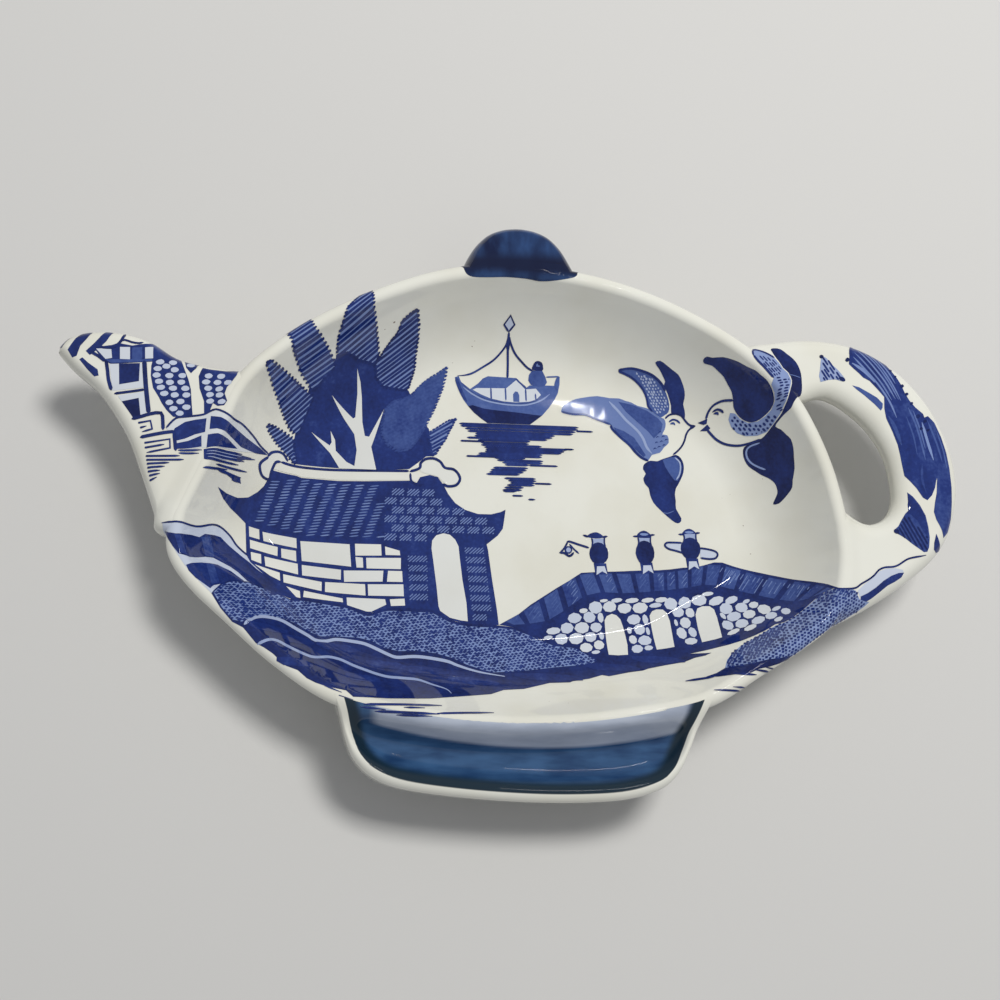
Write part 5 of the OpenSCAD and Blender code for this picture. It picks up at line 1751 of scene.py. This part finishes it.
outer_leaf = [
    (62.1, 14.8), (63.2, 15.3), (64.3, 14.3), (65.2, 12), (65.8, 9.5), (66.1, 7), (66.2, 4),
    (66.1, 1.5), (65.9, -1), (65.3, -3), (64.4, -3.9), (64, -2.8), (63.2, -1.2), (62.9, 0),
    (63.2, 1.5), (63.6, 3), (63.8, 4.8), (64, 6.2), (64.2, 7.4), (63.6, 9), (63, 11.5), (62.4, 13.6)
]
patch("grounds", outer_leaf, 0.78)
for line, w, ink in (
    ([(51.6, 24.4), (53.4, 22.4), (55.4, 20), (57, 17.4), (58, 14.8)], 0.3, 0.46),
    ([(51.9, 25.2), (53.9, 22.9), (55.9, 20.3), (57.4, 17.6)], 0.26, 0.5),
    ([(52.6, 25.7), (54.6, 23.2), (56.5, 20.6), (58, 17.8)], 0.26, 0.46),
    ([(53.5, 25.6), (55.4, 23.2), (57.1, 20.6), (58.5, 17.8)], 0.24, 0.5),
    ([(54.4, 25.3), (56.1, 22.9), (57.7, 20.2), (58.9, 17.6)], 0.24, 0.48),
    ([(55.4, 24.9), (56.9, 22.7), (58.2, 20.3)], 0.26, 0.46),
    ([(51.3, 23.4), (52.6, 22.6), (53.8, 21.6), (54.8, 20.4)], 0.5, 0.42),
    ([(60, 16.5), (61, 14), (61.7, 11), (62.2, 8.2)], 0.32, 0.6),
    ([(60.8, 16), (61.7, 13), (62.3, 10)], 0.28, 0.56),
    ([(59.6, 15), (60.5, 12), (60.9, 9)], 0.25, 0.66),
    ([(62.1, 14.2), (62.8, 11), (63.5, 8.2)], 0.45, 0.4),
    ([(56.7, 15), (57.6, 13.2), (58.5, 10.4)], 0.6, 0.68),
    ([(63, 14.6), (64.2, 11), (64.9, 8)], 0.3, 0.62),
    ([(64.4, 13), (65.2, 10), (65.6, 7)], 0.28, 0.6),
    ([(61.6, 7.5), (61.4, 5), (61.9, 3)], 0.4, 0.7)
):
    stroke("gaps", line, w, ink, (1.2, 1.6))
for x, y, size in (
    (57.7, 22.5, 0.28), (58.3, 21.5, 0.24), (59.3, 20, 0.36), (59.95, 18.7, 0.3), (50.6, 23.9, 0.4),
    (61.5, 15.2, 0.4), (62.6, 14.4, 0.35), (61.9, 13.2, 0.3), (63, 13, 0.25), (60.6, 17.2, 0.3)
):
    spot("strokes", (x, y), (size, size * 0.8), NAVY, 0.7, 7, 0.2)
stroke("strokes", [(51.1, 24.6), (51.4, 25.7), (52.1, 26.6)], 0.4, SOLID)
patch("grounds", [
    (51.1, 19.75), (52.2, 19.5), (53.6, 18.75), (55, 17.95), (55.9, 17), (55.8, 16.3),
    (55.5, 15.85), (54.6, 16.8), (53, 18.2), (51.8, 19.1)
], 0.64)
triangle = [
    (46.4, 24.4), (47.2, 24), (48, 23), (48.8, 22.3), (49.4, 21.6), (50, 20.8), (49.6, 20.3),
    (48.4, 20.6), (47.4, 20.5), (46, 20.1), (45.8, 21), (46, 22), (46.2, 23.3)
]
patch("grounds", triangle, 0.34)
hatch("strokes", triangle, -58, 0.48, 0.3, SOLID, 0.02, 0.3, 1.6, 0.3)
spot("strokes", (49.5, 20.7), (0.55, 0.35), NAVY, -0.5)
spot("strokes", (46.4, 24.2), (0.35, 0.3), NAVY)
leaf = [
    (58.9, 3), (59.7, 2.3), (60.7, 1), (61.5, -0.6), (61.8, -2.3), (61.9, -4), (61.7, -5.5),
    (61.4, -6.2), (60.8, -6.3), (59.9, -5.7), (58.9, -5), (57.9, -4.2), (57, -3.7), (56.4, -3.4),
    (56.3, -3), (57, -2.4), (57.5, -1.6), (57.9, -1), (58.3, -0.4), (58.8, 0.1), (58.8, 1), (59, 2)
]
patch("grounds", leaf, 0.74)
patch("gaps", [
    (58.95, 2.7), (59.7, 2.1), (60.6, 0.9), (61.35, -0.6), (61.65, -2.3), (61.6, -4), (60.9, -3),
    (60.1, -1.4), (59.2, -0.6), (58.6, -0.3), (58.95, 0.4), (58.9, 1.2)
], SOLID)
hatch("strokes", [
    (58.2, -0.5), (61.6, -4), (61.4, -6), (60.6, -6), (56.5, -3.4), (57.1, -2.4)
], -62, 0.55, 0.28, NAVY, 0.05)
spot("strokes", (56.6, -3.2), (0.42, 0.38), NAVY)
patch("grounds", [
    (63, -3.4), (63.3, -4), (63.8, -5), (64, -5.8), (63.2, -6.2), (62.6, -5.8), (62.6, -4.8)
], SOLID)
count("handle:")

# %% [markdown]
# The blue of the knob was brushed on over the rim, so it laps a little way down into the well.

# %% Blue lap at the knob
patch("lap", [
    (-9.7, 36.4), (-9.6, 35.4), (-9.2, 34.5), (-8.2, 34.15), (-6, 34.25), (-3, 34.45), (0, 34.4),
    (2, 34.2), (4, 34.25), (6, 34.5), (7.5, 34.9), (7.9, 35.6), (7.9, 36.4), (4, 36.9), (-0.8, 37),
    (-5, 36.9)
], 1.0, 3, bleeds=False)
count("knob lap:")

# %% [markdown]
# Now the layers are laid on the dish. Each one is cut into small faces and dropped on the glaze
# with a search tree. Where a face would bridge the round rim it is divided until it follows the
# curve. The layer borrows the smooth normals of the glaze below it, so that the gloss runs on
# over clay and ink alike.

# %% Lay the print on the dish
def glaze_of(*pieces):
    """The dish's surface in millimetres: a search tree, corners, faces and corner normals."""
    places, faces, normals = [], [], []
    for piece in pieces:
        first = len(places)
        places += [v.co / MM for v in piece.data.vertices]
        normals += [v.normal.copy() for v in piece.data.vertices]
        faces += [[first + i for i in face.vertices] for face in piece.data.polygons]
    return BVHTree.FromPolygons(places, faces), places, faces, normals


DROP_FROM = 40  # well above the dish
tree, glaze_places, glaze_faces, glaze_normals = glaze_of(bowl, spout, handle, knob, foot)


def on_glaze(p):
    """The place on top of the dish under a flat point, and its face."""
    hit, _, face, _ = tree.ray_cast(Vector((p.x, p.y, DROP_FROM)), Vector((0, 0, -1)))
    if hit is None:  # just outside the outline: the nearest edge of an arm or of the rim
        edges = [tree.find_nearest(Vector((p.x, p.y, z)))
                 for z in (SECTION_H - EDGE_RUN, RIM_H - RIM_R)]
        hit, _, face, _ = min(edges, key=lambda edge: (edge[0].xy - p.xy).length)
    return hit, face


GRID_X, GRID_Y, GRID_STEP = 68, 38, 2.0
BEND, FINEST, ROUNDS = 0.011, 0.12, 4  # an edge this far off the glaze is cut, down to this length


def dice(bm, step):
    """Cuts the larger faces of a flat layer along a square grid."""
    bmesh.ops.triangulate(bm, faces=bm.faces)
    big = [f for f in bm.faces if max(e.calc_length() for e in f.edges) > step * 1.2]
    geom = big + once(e for f in big for e in f.edges) + once(v for f in big for v in f.verts)
    for axis, reach in ((Vector((1, 0, 0)), GRID_X), (Vector((0, 1, 0)), GRID_Y)):
        for k in range(int(-reach / step), int(reach / step) + 1):
            geom = bmesh.ops.bisect_plane(bm, geom=geom, dist=1e-4, plane_co=axis * (k * step),
                                          plane_no=axis)["geom"]
    bmesh.ops.triangulate(bm, faces=[f for f in bm.faces if len(f.verts) > 3])


def lay(name, bm, lift, material, slot):
    """Lays one flat layer on the dish and makes it an object."""
    dice(bm, GRID_STEP)
    for _ in range(ROUNDS):
        found = {v: on_glaze(v.co)[0] for v in bm.verts}
        stiff = [e for e in bm.edges if e.calc_length() > FINEST and
                 (on_glaze((e.verts[0].co + e.verts[1].co) / 2)[0]
                  - (found[e.verts[0]] + found[e.verts[1]]) / 2).length > BEND]
        if not stiff:
            break
        bmesh.ops.subdivide_edges(bm, edges=stiff, cuts=1)
        bmesh.ops.triangulate(bm, faces=[f for f in bm.faces if len(f.verts) > 3])
    bm.normal_update()
    bmesh.ops.reverse_faces(bm, faces=[f for f in bm.faces if f.normal.z < 0])
    low = [min(v.co[i] for v in bm.verts) for i in (0, 1)]
    size = [max(v.co[i] for v in bm.verts) - low[i] for i in (0, 1)]
    plan = bm.loops.layers.uv.new("OFBake")
    for f in bm.faces:
        for corner in f.loops:
            corner[plan].uv = [(corner.vert.co[i] - low[i]) / size[i] for i in (0, 1)]
    normals = []
    for v in bm.verts:
        hit, face = on_glaze(v.co)
        corners = glaze_faces[face]
        weights = poly_3d_calc([glaze_places[i] for i in corners], hit)
        normal = sum((glaze_normals[i] * w for i, w in zip(corners, weights)), Vector())
        normal.normalize()
        v.co = hit + normal * (lift + v.co.z)
        normals.append(normal)
    piece = keep(bm, name, material, slot)
    piece.data.normals_split_custom_set_from_vertices(normals)
    return piece


# %% [markdown]
# The lap gets the knob's own paint, darkened like the knob's base everywhere but at its lower
# edge. The other layers are all one ink.

# %% Lap and print
LAP_DARK, LAP_FADE = 0.95, (34.4, 35.8)
lap = lay("knob_lap", layers.pop("lap"), LIFTS["lap"], knob_blue, "painted_knob")
painted(lap, lambda places: np.ones(len(places)))
painted(lap, lambda places: LAP_DARK * smooth_share([p.y for p in places], *LAP_FADE), "thick")
for name, bm in layers.items():
    lay("print_" + name, bm, LIFTS[name], transfer_print, "glazed_white")

# %% [markdown]
# The dish is photographed on a plain pale sheet. A soft box hangs over the table, behind the dish
# and to its right, and a pale room fills the shadows. The gloss doesn't show the soft box: one
# narrow lamp below it gives the small highlights.

# %% Floor and light
LAMP_X, LAMP_Y, LAMP_TURN, FLOOR_HALF = 0.134, 0.209, math.radians(-18.6), 1.5
ROOM, ROOM_STRENGTH = (0.93, 0.95, 1, 1), 0.33
pale = Finish("pale_floor", Base_Color=(0.66, 0.655, 0.64, 1), Roughness=0.9)
grain = pale.noise(3, 4)
pale.feed(Normal=bumps(pale, grain, 0.1, 0.02))
bm = bmesh.new()
bmesh.ops.create_grid(bm, x_segments=1, y_segments=1, size=FLOOR_HALF)
mesh = bpy.data.meshes.new("floor")
bm.to_mesh(mesh)
bm.free()
mesh.materials.append(pale.material)
floor = bpy.data.objects.new("floor", mesh)
bpy.context.scene.collection.objects.link(floor)
floor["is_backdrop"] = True


def soft_box(name, size, watts, shows, height):
    """A lamp that faces straight down; shows is whether it is seen in the gloss."""
    lamp = bpy.data.objects.new(name, bpy.data.lights.new(name, "AREA"))
    lamp.data.shape, lamp.data.size, lamp.data.size_y = "RECTANGLE", *size
    lamp.data.energy, lamp.data.color, lamp.visible_glossy = watts, (1, 0.985, 0.95), shows
    lamp.location, lamp.rotation_euler = (LAMP_X, LAMP_Y, height), (0, 0, LAMP_TURN)
    bpy.context.scene.collection.objects.link(lamp)


soft_box("key_box", (0.2, 0.16), 3.25, False, 0.62)
soft_box("glint", (0.046, 0.008), 0.06, True, 0.60)
world = bpy.data.worlds.new("soft_room")
world.use_nodes = True
room_light = world.node_tree.nodes["Background"]
room_light.inputs["Color"].default_value = ROOM
room_light.inputs["Strength"].default_value = ROOM_STRENGTH
bpy.context.scene.world = world
bpy.context.scene.view_settings.view_transform = "Standard"

# %% [markdown]
# At the end the script notes the size of the CAD model and of the dressed one, and hands the
# scene over.

# %% Finish
sizes = {"cad": [list(c) for c in CAD_BOX], "visual": [list(c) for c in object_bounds()]}
print("grew by, in mm:", [round((abs(a) - abs(b)) / MM, 2) for a, b in
      zip(sum(sizes["visual"], []), sum(sizes["cad"], []))])
